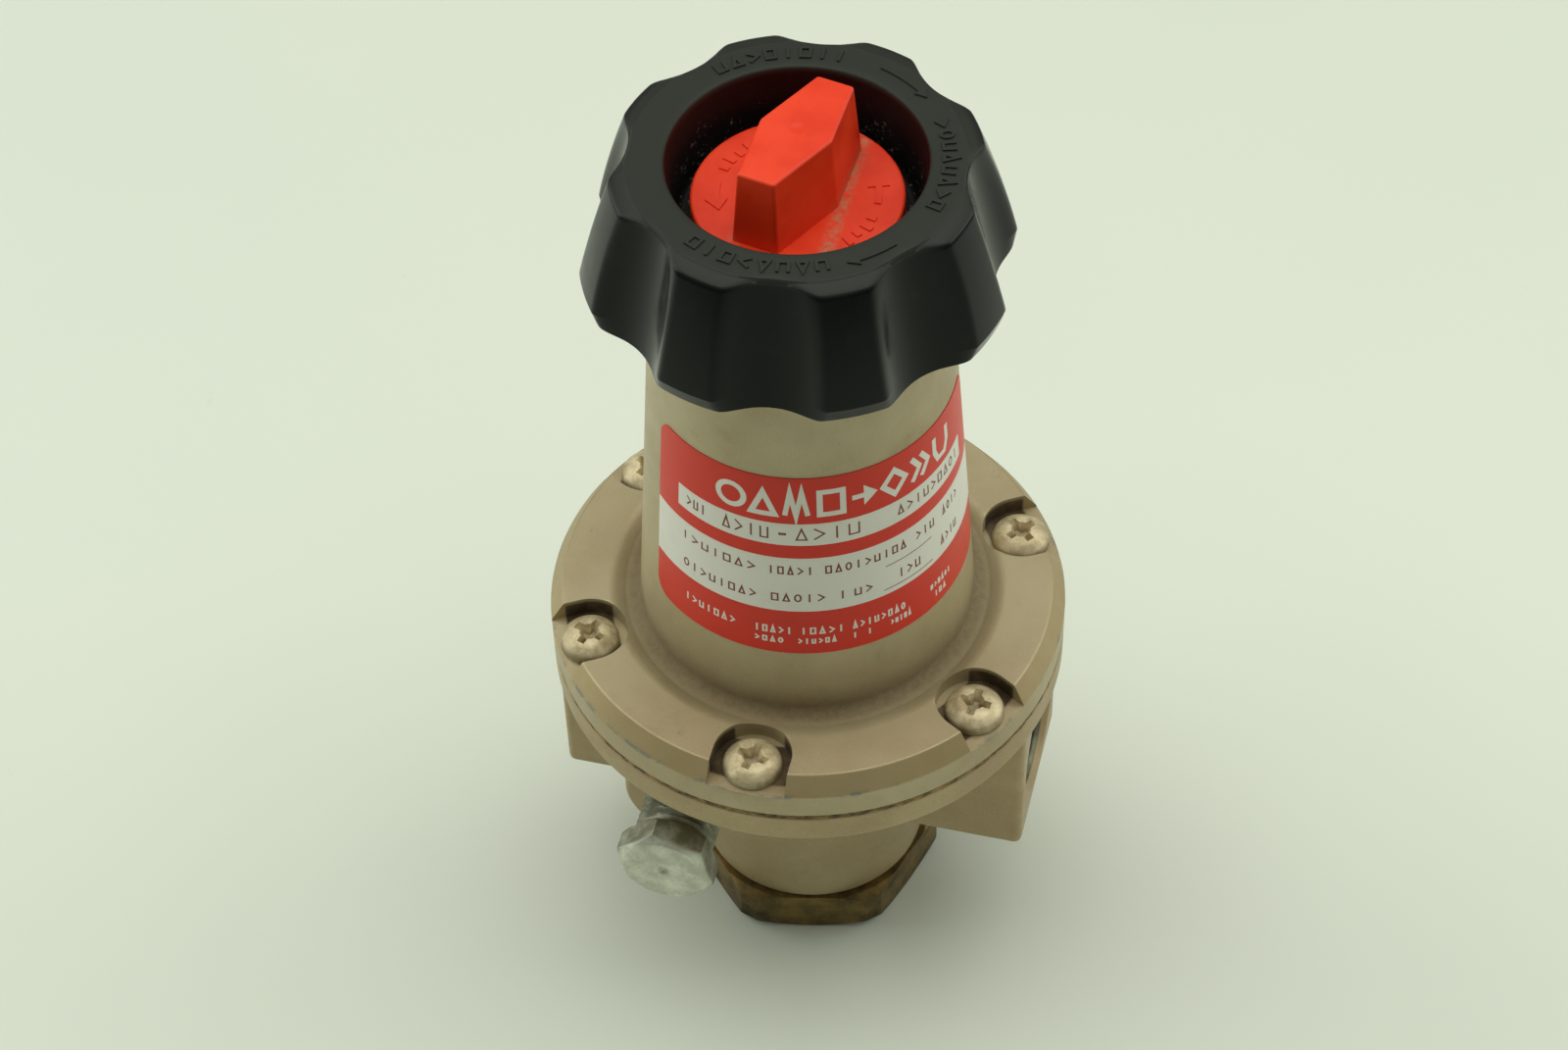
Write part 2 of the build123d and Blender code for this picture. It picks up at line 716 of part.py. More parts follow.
def make_nameplate():
    low = bonnet_base_z + plate_low_rise
    high = low + plate_height
    inner_low = cone_top_radius + taper * (bonnet_top_z - low)
    inner_high = cone_top_radius + taper * (bonnet_top_z - high)
    band = turned(
        [
            (inner_low, low),
            (inner_low + plate_thickness, low),
            (inner_high + plate_thickness, high),
            (inner_high, high),
        ],
        arc=plate_sweep,
    )
    for level, up, radius in ((low, 1, inner_low), (high, -1, inner_high)):
        for angle, inward in ((0.0, 1), (plate_sweep, -1)):
            cutter = plate_corner_cutter(inward, up)
            band -= Rot(0, 0, angle) * Pos(radius - 1, 0, level) * cutter
    return Rot(0, 0, plate_start_angle) * band


makers = {
    "body": make_body,
    "bonnet": make_bonnet,
    "bonnet_screws": make_bonnet_screws,
    "bottom_cap": make_bottom_cap,
    "bottom_cap_seal": make_bottom_cap_seal,
    "gauge_port_plug": make_gauge_port_plug,
    "rear_gauge_plug": make_rear_gauge_plug,
    "valve_seat": make_valve_seat,
    "valve_stem": make_valve_stem,
    "valve_poppet": make_valve_poppet,
    "poppet_seal": make_poppet_seal,
    "valve_spring": make_valve_spring,
    "diaphragm": make_diaphragm,
    "diaphragm_upper_plate": make_upper_plate,
    "diaphragm_lower_plate": make_lower_plate,
    "relief_hub": make_relief_hub,
    "hub_nut": make_hub_nut,
    "range_spring": make_range_spring,
    "spring_nut": make_spring_nut,
    "adjusting_screw": make_adjusting_screw,
    "thrust_washer": make_thrust_washer,
    "bonnet_bushing": make_bonnet_bushing,
    "adjusting_knob": make_knob,
    "knob_retaining_ring": make_retaining_ring,
    "lock_button": make_lock_button,
    "lock_stem": make_lock_stem,
    "nameplate": make_nameplate,
}

os.makedirs("parts", exist_ok=True)
for name, make in makers.items():
    export_step(make(), f"parts/{name}.step")
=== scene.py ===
import json
import math

import bmesh
import bpy
from mathutils import Matrix, Vector, noise


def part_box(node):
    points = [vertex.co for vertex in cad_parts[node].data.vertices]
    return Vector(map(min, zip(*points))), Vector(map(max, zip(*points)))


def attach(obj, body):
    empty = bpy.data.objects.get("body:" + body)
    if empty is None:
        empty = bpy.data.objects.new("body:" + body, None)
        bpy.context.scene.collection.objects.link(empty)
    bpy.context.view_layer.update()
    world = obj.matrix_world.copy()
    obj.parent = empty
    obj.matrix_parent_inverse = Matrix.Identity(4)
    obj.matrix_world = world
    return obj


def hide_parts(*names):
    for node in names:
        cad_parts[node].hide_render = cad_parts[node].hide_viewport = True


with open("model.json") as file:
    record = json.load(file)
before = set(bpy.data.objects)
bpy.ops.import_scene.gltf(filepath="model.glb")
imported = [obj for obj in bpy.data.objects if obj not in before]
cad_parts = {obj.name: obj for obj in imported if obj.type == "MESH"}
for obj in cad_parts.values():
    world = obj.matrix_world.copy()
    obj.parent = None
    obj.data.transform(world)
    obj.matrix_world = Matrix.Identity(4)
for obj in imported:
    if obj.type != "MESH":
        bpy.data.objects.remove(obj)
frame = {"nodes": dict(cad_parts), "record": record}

# An air pressure regulator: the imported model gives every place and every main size, and this
# script dresses it. Lengths below are in millimetres and angles in degrees unless they say
# otherwise. MM turns them into metres. SAME_PLACE and HAIRLINE are in metres.
MM = 0.001
FULL_TURN = 2 * math.pi
SAME_PLACE = 1e-6
HAIRLINE = 5e-7
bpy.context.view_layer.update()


def node_span(node):
    """The lowest and highest corners of a node, in millimetres."""
    low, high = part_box(node)
    return low / MM, high / MM


_, bonnet_high = node_span("bonnet")
body_low, body_high = node_span("body")
knob_low, knob_high = node_span("adjusting_knob")
lock_low, lock_high = node_span("lock_button")
label_low, label_high = node_span("nameplate")
_, cap_high = node_span("bottom_cap")
seam_low, seam_high = node_span("diaphragm")
plug_low, _ = node_span("gauge_port_plug")
screws_low, _ = node_span("bonnet_screws")
_, bushing_high = node_span("bonnet_bushing")

# Bonnet
FLANGE_RADIUS = bonnet_high.x
SHOULDER_Z = seam_high.z + 8.0
CONE_TOP_RADIUS = 21.75
CONE_TAPER = math.tan(math.radians(3.77))
CONE_BASE_RADIUS = CONE_TOP_RADIUS + CONE_TAPER * (bonnet_high.z - SHOULDER_Z)
CHAMFER_WIDTH = 2.1
CHAMFER_HEIGHT = 3.2
CHAMFER_RADIUS = FLANGE_RADIUS - CHAMFER_WIDTH
CHAMFER_Z = SHOULDER_Z - CHAMFER_HEIGHT
TROUGH_DEPTH = 1.0
LIP_WIDTH = 2.8
PAN_RADIUS = FLANGE_RADIUS - 12.8
SCREW_CIRCLE = FLANGE_RADIUS - 5.3
SCREW_HOLE_RADIUS = 2.7
SCREW_COUNT = 6
SCREW_FIRST_ANGLE = 30.0
NOTCH_RADIUS = 6.2
NOTCH_DEPTH = 3.4
NOTCH_FLOOR_Z = SHOULDER_Z - NOTCH_DEPTH

# Knob
KNOB_LOBES = 8
KNOB_FLUTE_ANGLE = -84.2
KNOB_FLUTE_RADIUS = 11.0
KNOB_FLUTE_TAPER = 4.4
KNOB_LOBE_RADIUS = 31.9
KNOB_TOP_RADIUS = 26.4
KNOB_BARREL = 0.38
RIM_RADIUS = 18.8


# ---- mesh helpers


def arc_points(centre, start, end, steps):
    """Points of the shorter arc about centre from start to end."""
    first = (start - centre).to_2d()
    last = (end - centre).to_2d()
    radius = first.length
    a = math.atan2(first.y, first.x)
    sweep = math.atan2(last.y, last.x) - a
    sweep = (sweep + math.pi) % FULL_TURN - math.pi
    turns = [a + sweep * k / steps for k in range(steps + 1)]
    return [centre + Vector((radius * math.cos(t), radius * math.sin(t))) for t in turns]


def rounded_path(corners, closed=False, steps=5):
    """A chain of (x, y) or (x, y, round) corners as points, each round made an arc."""
    path = []
    last = len(corners) - 1
    for i, (x, y, *size) in enumerate(corners):
        here = Vector((x, y))
        size = size[0] if size else 0
        if size == 0 or (not closed and i in (0, last)):
            path.append(here)
            continue
        before = (Vector(corners[i - 1][:2]) - here).normalized()
        after = (Vector(corners[(i + 1) % len(corners)][:2]) - here).normalized()
        half = before.angle(after) / 2
        reach = size / math.tan(half)
        centre = here + (before + after).normalized() * (size / math.sin(half))
        path += arc_points(centre, here + before * reach, here + after * reach, steps)
    return path


def turned(corners, steps=192, arc_steps=5, closed=False):
    """A bmesh turned about Z from (radius, level) or (radius, level, round) corners."""
    bm = bmesh.new()
    path = rounded_path(corners, closed, arc_steps)
    verts = [bm.verts.new((p.x * MM, 0, p.y * MM)) for p in path]
    edges = [bm.edges.new(pair) for pair in zip(verts, verts[1:])]
    if closed:
        edges.append(bm.edges.new((verts[-1], verts[0])))
    bmesh.ops.spin(
        bm,
        geom=verts + edges,
        cent=(0, 0, 0),
        axis=(0, 0, 1),
        angle=FULL_TURN,
        steps=steps,
        use_merge=True,
    )
    bmesh.ops.remove_doubles(bm, verts=bm.verts, dist=SAME_PLACE)
    return outward(bm)


def plate(points, low, high):
    """A bmesh of a flat outline in millimetres, extruded between two levels."""
    bm = bmesh.new()
    face = bm.faces.new([bm.verts.new((x * MM, y * MM, low * MM)) for x, y in points])
    return thicken(bm, [face], high - low)


def outward(bm):
    bmesh.ops.recalc_face_normals(bm, faces=bm.faces)
    return bm


def move(bm, matrix):
    bmesh.ops.transform(bm, matrix=matrix, verts=bm.verts)
    return bm


def rotated(angle, axis="Z"):
    return Matrix.Rotation(math.radians(angle), 4, axis)


def shifted(x, y, z):
    return Matrix.Translation(Vector((x, y, z)) * MM)


def joined(parts):
    """Several bmeshes as one."""
    whole = bmesh.new()
    for bm in parts:
        mesh = bpy.data.meshes.new("join")
        bm.to_mesh(mesh)
        bm.free()
        whole.from_mesh(mesh)
        bpy.data.meshes.remove(mesh)
    return whole


def in_scene(name, data):
    made = bpy.data.objects.new(name, data)
    bpy.context.scene.collection.objects.link(made)
    return made


def as_object(name, bm):
    mesh = bpy.data.meshes.new(name)
    bm.to_mesh(mesh)
    bm.free()
    return in_scene(name, mesh)


def settle(piece):
    """Make a piece's modifiers its own mesh."""
    graph = bpy.context.evaluated_depsgraph_get()
    mesh = bpy.data.meshes.new_from_object(piece.evaluated_get(graph))
    piece.modifiers.clear()
    old = piece.data
    piece.data = mesh
    bpy.data.meshes.remove(old)


def carve(piece, cutter, operation="DIFFERENCE"):
    """Cut a bmesh out of a piece, or add it to the piece."""
    tool = as_object("tool", cutter)
    modifier = piece.modifiers.new("carve", "BOOLEAN")
    modifier.operation = operation
    modifier.solver = "EXACT"
    modifier.object = tool
    settle(piece)
    bpy.data.objects.remove(tool)


def soften(piece, width, segments=2, limit=38.0):
    """Round the sharp edges of a piece by width in millimetres."""
    modifier = piece.modifiers.new("soften", "BEVEL")
    modifier.width = width * MM
    modifier.segments = segments
    modifier.limit_method = "ANGLE"
    modifier.angle_limit = math.radians(limit)
    modifier.use_clamp_overlap = True
    modifier.harden_normals = False
    settle(piece)


def merge_doubles(piece):
    """Close the hairline gaps that a chain of cuts leaves."""
    bm = bmesh.new()
    bm.from_mesh(piece.data)
    bmesh.ops.remove_doubles(bm, verts=bm.verts, dist=HAIRLINE)
    bmesh.ops.dissolve_degenerate(bm, dist=HAIRLINE, edges=bm.edges)
    bm.to_mesh(piece.data)
    bm.free()


def dress(piece, body, material, replaced=(), sharp=40.0):
    """Give a piece its shading, material and body."""
    merge_doubles(piece)
    piece.data.shade_smooth()
    piece.data.set_sharp_from_angle(angle=math.radians(sharp))
    modifier = piece.modifiers.new("flat_faces", "WEIGHTED_NORMAL")
    modifier.keep_sharp = True
    settle(piece)
    piece.data.materials.clear()
    piece.data.materials.append(material)
    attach(piece, body)
    if replaced:
        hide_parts(*replaced)
    return piece


# ---- material helpers


class Shader:
    """A material's node tree, with short calls for the nodes that the finishes use."""

    def __init__(self, name):
        self.material = bpy.data.materials.new(name)
        self.material.use_nodes = True
        self.tree = self.material.node_tree
        self.tree.nodes.clear()
        self.bsdf = self.tree.nodes.new("ShaderNodeBsdfPrincipled")
        output = self.tree.nodes.new("ShaderNodeOutputMaterial")
        self.tree.links.new(self.bsdf.outputs[0], output.inputs["Surface"])
        self.place = self.tree.nodes.new("ShaderNodeTexCoord").outputs["Object"]

    def node(self, kind, settings=None, **inputs):
        made = self.tree.nodes.new(kind)
        for key, value in (settings or {}).items():
            setattr(made, key, value)
        for key, value in inputs.items():
            self.feed(made.inputs[key.replace("_", " ")], value)
        return made

    def feed(self, socket, value):
        """Link a socket to another one, or set its value, a colour being three numbers."""
        if isinstance(value, bpy.types.NodeSocket):
            self.tree.links.new(value, socket)
        else:
            socket.default_value = (*value, 1.0) if socket.type == "RGBA" else value

    def set(self, **inputs):
        for key, value in inputs.items():
            self.feed(self.bsdf.inputs[key.replace("_", " ")], value)

    def noise(self, scale, detail=3.0, roughness=0.55, stretch=None):
        vector = self.place
        if stretch:
            vector = self.node("ShaderNodeMapping", Vector=self.place, Scale=stretch).outputs[0]
        made = self.node("ShaderNodeTexNoise", Vector=vector, Scale=scale, Detail=detail, Roughness=roughness)
        return made.outputs[0]

    def math(self, operation, a, b=0.0, c=0.0):
        made = self.tree.nodes.new("ShaderNodeMath")
        made.operation = operation
        for socket, value in zip(made.inputs, (a, b, c)):
            self.feed(socket, value)
        return made.outputs[0]

    def times(self, value, *others):
        for other in others:
            value = self.math("MULTIPLY", value, other)
        return value

    def step(self, value, low, high, out_low=0.0, out_high=1.0):
        """value mapped smoothly from low..high to out_low..out_high."""
        made = self.node(
            "ShaderNodeMapRange",
            {"interpolation_type": "SMOOTHSTEP"},
            Value=value, From_Min=low, From_Max=high, To_Min=out_low, To_Max=out_high,
        )
        return made.outputs[0]

    def mix(self, share, a, b):
        made = self.tree.nodes.new("ShaderNodeMix")
        made.data_type = "RGBA"
        self.feed(made.inputs["Factor"], share)
        self.feed(made.inputs[6], a)
        self.feed(made.inputs[7], b)
        return made.outputs[2]

    def blend(self, share, a, b):
        made = self.tree.nodes.new("ShaderNodeMix")
        self.feed(made.inputs["Factor"], share)
        self.feed(made.inputs[2], a)
        self.feed(made.inputs[3], b)
        return made.outputs[0]

    def bump(self, height, strength, distance, under=None):
        made = self.node("ShaderNodeBump", Height=height, Strength=strength, Distance=distance)
        if under is not None:
            self.feed(made.inputs["Normal"], under)
        return made.outputs[0]

    def axes(self):
        made = self.node("ShaderNodeSeparateXYZ", Vector=self.place)
        return made.outputs[0], made.outputs[1], made.outputs[2]

    def from_axis(self):
        """The distance of a point from the Z axis, in metres."""
        x, y, _ = self.axes()
        return self.math("SQRT", self.math("ADD", self.times(x, x), self.times(y, y)))

    def near(self, value, centre, width):
        """1 at centre, falling smoothly to 0 at width either side."""
        return self.step(self.math("ABSOLUTE", self.math("SUBTRACT", value, centre)), width, 0.0)


# ---- finishes

GRIME_AND_SHADE = (0.055, 0.032, 0.014)
BARE_CASTING = (0.19, 0.20, 0.185)
FOOT_BROWN = (0.13, 0.085, 0.035)


def champagne_enamel(name, deep, light):
    """Metallic enamel over a casting, darker and browner in the trough, with grime and painted shade in the
    screw notches and chips along the rims.
    """
    s = Shader(name)
    radius = s.from_axis()
    _, _, z = s.axes()
    flake = s.noise(5200.0, 2.0)
    cloud = s.noise(38.0, 4.0)
    patch = s.noise(160.0, 5.0, 0.65)
    speck = s.noise(900.0, 2.0, 0.5)
    tone = s.mix(s.step(cloud, 0.35, 0.68), deep, light)
    tone = s.mix(s.step(flake, 0.45, 0.75, 0.0, 0.28), tone, (0.62, 0.56, 0.42))
    # the trough and the foot of the cone darker and browner, fading out up the cone
    foot = s.math("SUBTRACT", radius, (CONE_BASE_RADIUS + 0.6) * MM)
    trough = s.step(s.math("ABSOLUTE", foot), 3.6 * MM, 0.2 * MM)
    low = s.step(z, (SHOULDER_Z + 9.0) * MM, (SHOULDER_Z - 0.6) * MM)
    below = s.step(z, (SHOULDER_Z - 4.0) * MM, (SHOULDER_Z - 1.2) * MM)
    foot_mark = s.times(trough, below, low, low)
    foot_mottle = s.step(s.noise(900.0, 5.0, 0.7), 0.25, 0.75, 0.7, 1.0)
    tone = s.mix(s.times(foot_mark, foot_mottle, 0.7), tone, FOOT_BROWN)
    # grime and painted shade on the walls and floors of the screw notches
    between = s.times(
        s.step(radius, (CONE_BASE_RADIUS + 4.6) * MM, (CONE_BASE_RADIUS + 5.0) * MM),
        s.step(radius, (FLANGE_RADIUS - 2.0) * MM, (FLANGE_RADIUS - 2.6) * MM),
    )
    sunk = s.step(z, (SHOULDER_Z - 0.25) * MM, (SHOULDER_Z - 1.1) * MM)
    above_seam = s.step(z, (seam_high.z + 0.5) * MM, (seam_high.z + 1.0) * MM)
    notch = s.times(between, sunk, above_seam, s.step(patch, 0.25, 0.6, 0.55, 0.95))
    tone = s.mix(notch, tone, GRIME_AND_SHADE)
    # handling film
    tone = s.mix(s.step(patch, 0.55, 0.85, 0.0, 0.22), tone, (0.17, 0.115, 0.06))
    # enamel rubbed brown along the chamfer
    chamfer = s.times(
        s.step(radius, (CHAMFER_RADIUS - 0.2) * MM, (CHAMFER_RADIUS + 0.2) * MM),
        s.step(z, (CHAMFER_Z - 0.3) * MM, (CHAMFER_Z + 0.3) * MM),
    )
    rubbed = s.times(chamfer, s.step(s.noise(75.0, 4.0, 0.6), 0.3, 0.65, 0.25, 0.6))
    tone = s.mix(rubbed, tone, (0.37, 0.26, 0.10))
    # chips at the rim edges
    at_rim = s.step(radius, (FLANGE_RADIUS - 0.75) * MM, (FLANGE_RADIUS - 0.1) * MM)
    upper = s.near(z, CHAMFER_Z * MM, 0.75 * MM)
    seam = s.near(z, (seam_low.z + seam_high.z) / 2 * MM, 1.0 * MM)
    edge = s.times(at_rim, s.math("MAXIMUM", upper, seam))
    chipped = s.times(edge, s.step(s.noise(210.0, 6.0, 0.8), 0.49, 0.60, 0.0, 0.85))
    nick = s.times(s.step(speck, 0.735, 0.76), s.step(patch, 0.5, 0.6))
    chipped = s.math("MAXIMUM", chipped, nick)
    tone = s.mix(chipped, tone, BARE_CASTING)
    s.set(Base_Color=tone, Metallic=0.4)
    rough = s.blend(s.step(patch, 0.3, 0.8), 0.40, 0.58)
    s.set(Roughness=s.blend(foot_mark, rough, 0.85))
    height = s.math("ADD", s.times(s.noise(1500.0, 2.0), 0.35), s.times(speck, 0.65))
    height = s.math("SUBTRACT", height, s.times(chipped, 0.7))
    s.set(Normal=s.bump(height, 0.22, 0.00012))
    return s.material


def screw_enamel():
    """The same enamel on the screws, worn to bright metal in patches, with grime and painted shade low on the
    heads, down in the notches.
    """
    s = Shader("screw_enamel")
    patch = s.noise(420.0, 4.0, 0.65)
    tone = s.mix(s.step(patch, 0.35, 0.65), (0.50, 0.41, 0.23), (0.76, 0.66, 0.42))
    _, _, z = s.axes()
    # grime and painted shade low on each head, down in its notch
    deep = s.step(z, (NOTCH_FLOOR_Z + 2.2) * MM, (NOTCH_FLOOR_Z + 1.1) * MM)
    recess = s.times(deep, s.step(s.noise(260.0), 0.3, 0.6, 0.4, 1.0))
    tone = s.mix(s.times(recess, 0.5), tone, GRIME_AND_SHADE)
    s.set(Base_Color=tone, Metallic=0.3, Roughness=s.blend(patch, 0.36, 0.55))
    s.set(Normal=s.bump(s.noise(1400.0, 2.0), 0.25, 0.0001))
    return s.material


def stained_brass():
    """Old brass on the bottom cap, stained dark and green."""
    s = Shader("stained_brass")
    patch = s.noise(120.0, 5.0, 0.65)
    fine = s.noise(900.0, 3.0)
    tone = s.mix(s.step(patch, 0.3, 0.7), (0.045, 0.035, 0.016), (0.27, 0.18, 0.055))
    tone = s.mix(s.step(fine, 0.5, 0.8, 0.0, 0.5), tone, (0.11, 0.105, 0.05))
    s.set(Base_Color=tone, Metallic=0.75, Roughness=s.blend(patch, 0.62, 0.38))
    s.set(Normal=s.bump(fine, 0.3, 0.00015))
    return s.material


def dull_zinc():
    """Zinc plate gone dull: pale bloom on the outer face, grime down the sides and in the thread."""
    s = Shader("dull_zinc")
    _, y, _ = s.axes()
    patch = s.noise(190.0, 5.0, 0.7)
    fine = s.noise(1500.0, 3.0)
    tone = s.mix(s.step(patch, 0.35, 0.7), (0.46, 0.47, 0.38), (0.72, 0.74, 0.62))
    tone = s.mix(s.step(fine, 0.55, 0.8, 0.0, 0.4), tone, (0.20, 0.19, 0.13))
    sides = s.step(s.math("ABSOLUTE", y), (-plug_low.y - 0.3) * MM, (-plug_low.y - 1.3) * MM)
    grimy = s.times(sides, s.step(s.noise(260.0, 4.0, 0.6), 0.3, 0.62, 0.45, 0.9))
    tone = s.mix(grimy, tone, (0.13, 0.12, 0.07))
    s.set(Base_Color=tone, Metallic=0.6, Roughness=s.blend(patch, 0.34, 0.55))
    s.set(Normal=s.bump(fine, 0.3, 0.0001))
    return s.material


def black_knob():
    """Black moulded plastic: glossy sides, a duller handled face and dust in the dish."""
    s = Shader("black_knob")
    _, _, z = s.axes()
    radius = s.from_axis()
    dust = s.noise(240.0, 5.0, 0.7)
    grain = s.noise(2600.0, 2.0)
    top = s.step(z, (knob_high.z - 1.3) * MM, (knob_high.z - 0.2) * MM)
    tone = s.mix(s.step(dust, 0.5, 0.8, 0.0, 0.35), (0.0035, 0.004, 0.004), (0.018, 0.020, 0.017))
    tone = s.mix(s.times(top, 0.8), tone, (0.030, 0.034, 0.027))
    dish = s.step(radius, (RIM_RADIUS + 0.2) * MM, (RIM_RADIUS - 0.3) * MM)
    deep = s.step(z, (knob_high.z - 2.5) * MM, (lock_low.z + 1.0) * MM)
    speck = s.step(s.noise(1500.0, 3.0, 0.6), 0.60, 0.66)
    where = s.times(dish, deep, s.step(s.noise(170.0), 0.42, 0.58))
    tone = s.mix(s.times(where, speck, 0.6), tone, (0.32, 0.29, 0.22))
    s.set(Base_Color=tone, Specular_IOR_Level=0.2)
    rough = s.blend(s.step(dust, 0.35, 0.75), 0.16, 0.27)
    s.set(Roughness=s.blend(s.math("MAXIMUM", top, dish), rough, 0.5))
    s.set(Normal=s.bump(s.math("ADD", s.times(grain, 0.5), dust), 0.06, 0.0002))
    return s.material


def red_wing():
    """Orange red moulded plastic with pale dust along the foot of the wing."""
    s = Shader("red_wing")
    x, y, z = s.axes()
    cloud = s.noise(130.0, 3.0)
    dust = s.noise(1400.0, 5.0, 0.75)
    tone = s.mix(s.step(cloud, 0.3, 0.7), (0.74, 0.036, 0.008), (0.84, 0.052, 0.012))
    foot = s.step(z, (lock_high.z - 10.6) * MM, (lock_high.z - 12.2) * MM)
    right = s.near(x, 6.7 * MM, 1.7 * MM)
    left = s.times(s.near(x, -6.6 * MM, 1.5 * MM), 0.5)
    beside = s.times(s.math("MAXIMUM", right, left), foot)
    foot_mark = s.times(beside, s.step(dust, 0.40, 0.60, 0.0, 0.75))
    tone = s.mix(foot_mark, tone, (0.38, 0.24, 0.13))
    s.set(Base_Color=tone, Subsurface_Weight=0.05, Specular_IOR_Level=0.35)
    s.bsdf.inputs["Subsurface Radius"].default_value = (0.002, 0.0006, 0.0003)
    s.set(Roughness=s.blend(s.math("ADD", foot_mark, s.step(cloud, 0.2, 0.8, 0.0, 0.3)), 0.32, 0.75))
    s.set(Normal=s.bump(s.math("ADD", s.noise(1900.0, 2.0), foot_mark), 0.14, 0.0001))
    return s.material


def plain_metal(name, dark, light, metallic=0.9, rough=(0.28, 0.5), scale=300.0):
    """Turned or drawn metal with a little tarnish."""
    s = Shader(name)
    patch = s.noise(scale, 4.0, 0.6)
    lines = s.noise(900.0, 2.0, 0.5, (0.15, 0.15, 6.0))
    s.set(Base_Color=s.mix(s.step(patch, 0.3, 0.7), dark, light), Metallic=metallic)
    s.set(Roughness=s.blend(patch, rough[0], rough[1]))
    s.set(Normal=s.bump(lines, 0.15, 0.00008))
    return s.material


def rubber(name, dark, light, scale=700.0):
    """Matt rubber with a woven or moulded skin."""
    s = Shader(name)
    grain = s.noise(scale, 4.0, 0.7)
    s.set(Base_Color=s.mix(s.step(grain, 0.3, 0.7), dark, light), Roughness=s.blend(grain, 0.7, 0.9))
    s.set(Normal=s.bump(grain, 0.5, 0.00012))
    return s.material


def printed_film(name, ink, worn):
    """Glossy printed label film, scuffed and a little soiled."""
    s = Shader(name)
    soil = s.noise(150.0, 5.0, 0.7)
    scratch = s.noise(1300.0, 3.0, 0.6)
    tone = s.mix(s.step(soil, 0.5, 0.85, 0.0, 0.35), ink, worn)
    tone = s.mix(s.step(scratch, 0.70, 0.76, 0.0, 0.6), tone, worn)
    s.set(Base_Color=tone, Roughness=s.blend(soil, 0.3, 0.45), Specular_IOR_Level=0.28)
    s.set(Normal=s.bump(soil, 0.1, 0.0002))
    return s.material


enamel = champagne_enamel("champagne_enamel", (0.40, 0.32, 0.18), (0.48, 0.405, 0.245))
# the body below the flange gets a darker, browner copy of the enamel: painted shade for its sides
body_enamel_in_shade = champagne_enamel("body_enamel_in_shade", (0.37, 0.27, 0.135), (0.45, 0.35, 0.19))
port_metal = plain_metal("port_thread", (0.07, 0.075, 0.05), (0.24, 0.25, 0.17), 0.7, (0.4, 0.6))
label_ink = printed_film("label_ink", (0.20, 0.045, 0.025), (0.36, 0.22, 0.15))
screw_finish = screw_enamel()
brass_finish = stained_brass()
zinc_finish = dull_zinc()
knob_finish = black_knob()
wing_finish = red_wing()
label_red = printed_film("label_red", (0.70, 0.028, 0.010), (0.45, 0.04, 0.02))
label_white = printed_film("label_white", (0.80, 0.79, 0.70), (0.56, 0.53, 0.43))
steel_finish = plain_metal("turned_steel", (0.34, 0.34, 0.33), (0.60, 0.60, 0.58))
brass_inner = plain_metal("turned_brass", (0.42, 0.29, 0.11), (0.66, 0.49, 0.22))
bronze_finish = plain_metal("sintered_bronze", (0.25, 0.14, 0.07), (0.42, 0.26, 0.13), rough=(0.45, 0.65))
spring_finish = plain_metal("spring_wire", (0.07, 0.075, 0.085), (0.20, 0.20, 0.21), 0.85, (0.35, 0.5))
seal_finish = rubber("seal_rubber", (0.012, 0.012, 0.012), (0.03, 0.03, 0.03))
diaphragm_finish = rubber("diaphragm_rubber", (0.05, 0.030, 0.010), (0.36, 0.23, 0.08), 520.0)


# ---- more mesh helpers


def rod(radius, low, high, steps=96, top_radius=None):
    """A round bar on the Z axis between two levels."""
    bm = bmesh.new()
    bmesh.ops.create_cone(
        bm,
        cap_ends=True,
        segments=steps,
        radius1=radius * MM,
        radius2=(radius if top_radius is None else top_radius) * MM,
        depth=(high - low) * MM,
    )
    return move(bm, shifted(0, 0, (low + high) / 2))


def brick(low, high, edge=0.0, segments=3):
    """A box between two corners, its edges rounded by edge."""
    bm = bmesh.new()
    bmesh.ops.create_cube(bm, size=1.0)
    size = Vector(high) - Vector(low)
    bmesh.ops.scale(bm, vec=size * MM, verts=bm.verts)
    move(bm, shifted(*((Vector(low) + Vector(high)) / 2)))
    if edge:
        rounded_edges(bm, bm.edges[:], edge, segments)
    return bm


def rounded_edges(bm, edges, width, segments=3):
    bmesh.ops.bevel(
        bm,
        geom=edges,
        offset=width * MM,
        offset_type="OFFSET",
        affect="EDGES",
        segments=segments,
        profile=0.5,
        material=-1,
        clamp_overlap=True,
    )


def regular(sides, flats, turn=0.0):
    """The corners of a regular polygon whose first flat faces the angle turn."""
    corner = flats / 2 / math.cos(math.pi / sides)
    turns = [math.radians(turn + (k + 0.5) * 360 / sides) for k in range(sides)]
    return [(corner * math.cos(t), corner * math.sin(t)) for t in turns]


def loop_of(bm, points, level, closed=True):
    """Edges through (x, y) points at one level."""
    verts = [bm.verts.new((x * MM, y * MM, level * MM)) for x, y in points]
    pairs = list(zip(verts, verts[1:])) + ([(verts[-1], verts[0])] if closed else [])
    return [bm.edges.new(pair) for pair in pairs]


def lofted(low_points, low, high_points, high):
    """A solid between two outlines at two levels."""
    bm = bmesh.new()
    bottom = loop_of(bm, low_points, low)
    top = loop_of(bm, high_points, high)
    bmesh.ops.bridge_loops(bm, edges=bottom + top)
    for rim in (bottom, top):
        bmesh.ops.contextual_create(bm, geom=rim)
    return outward(bm)


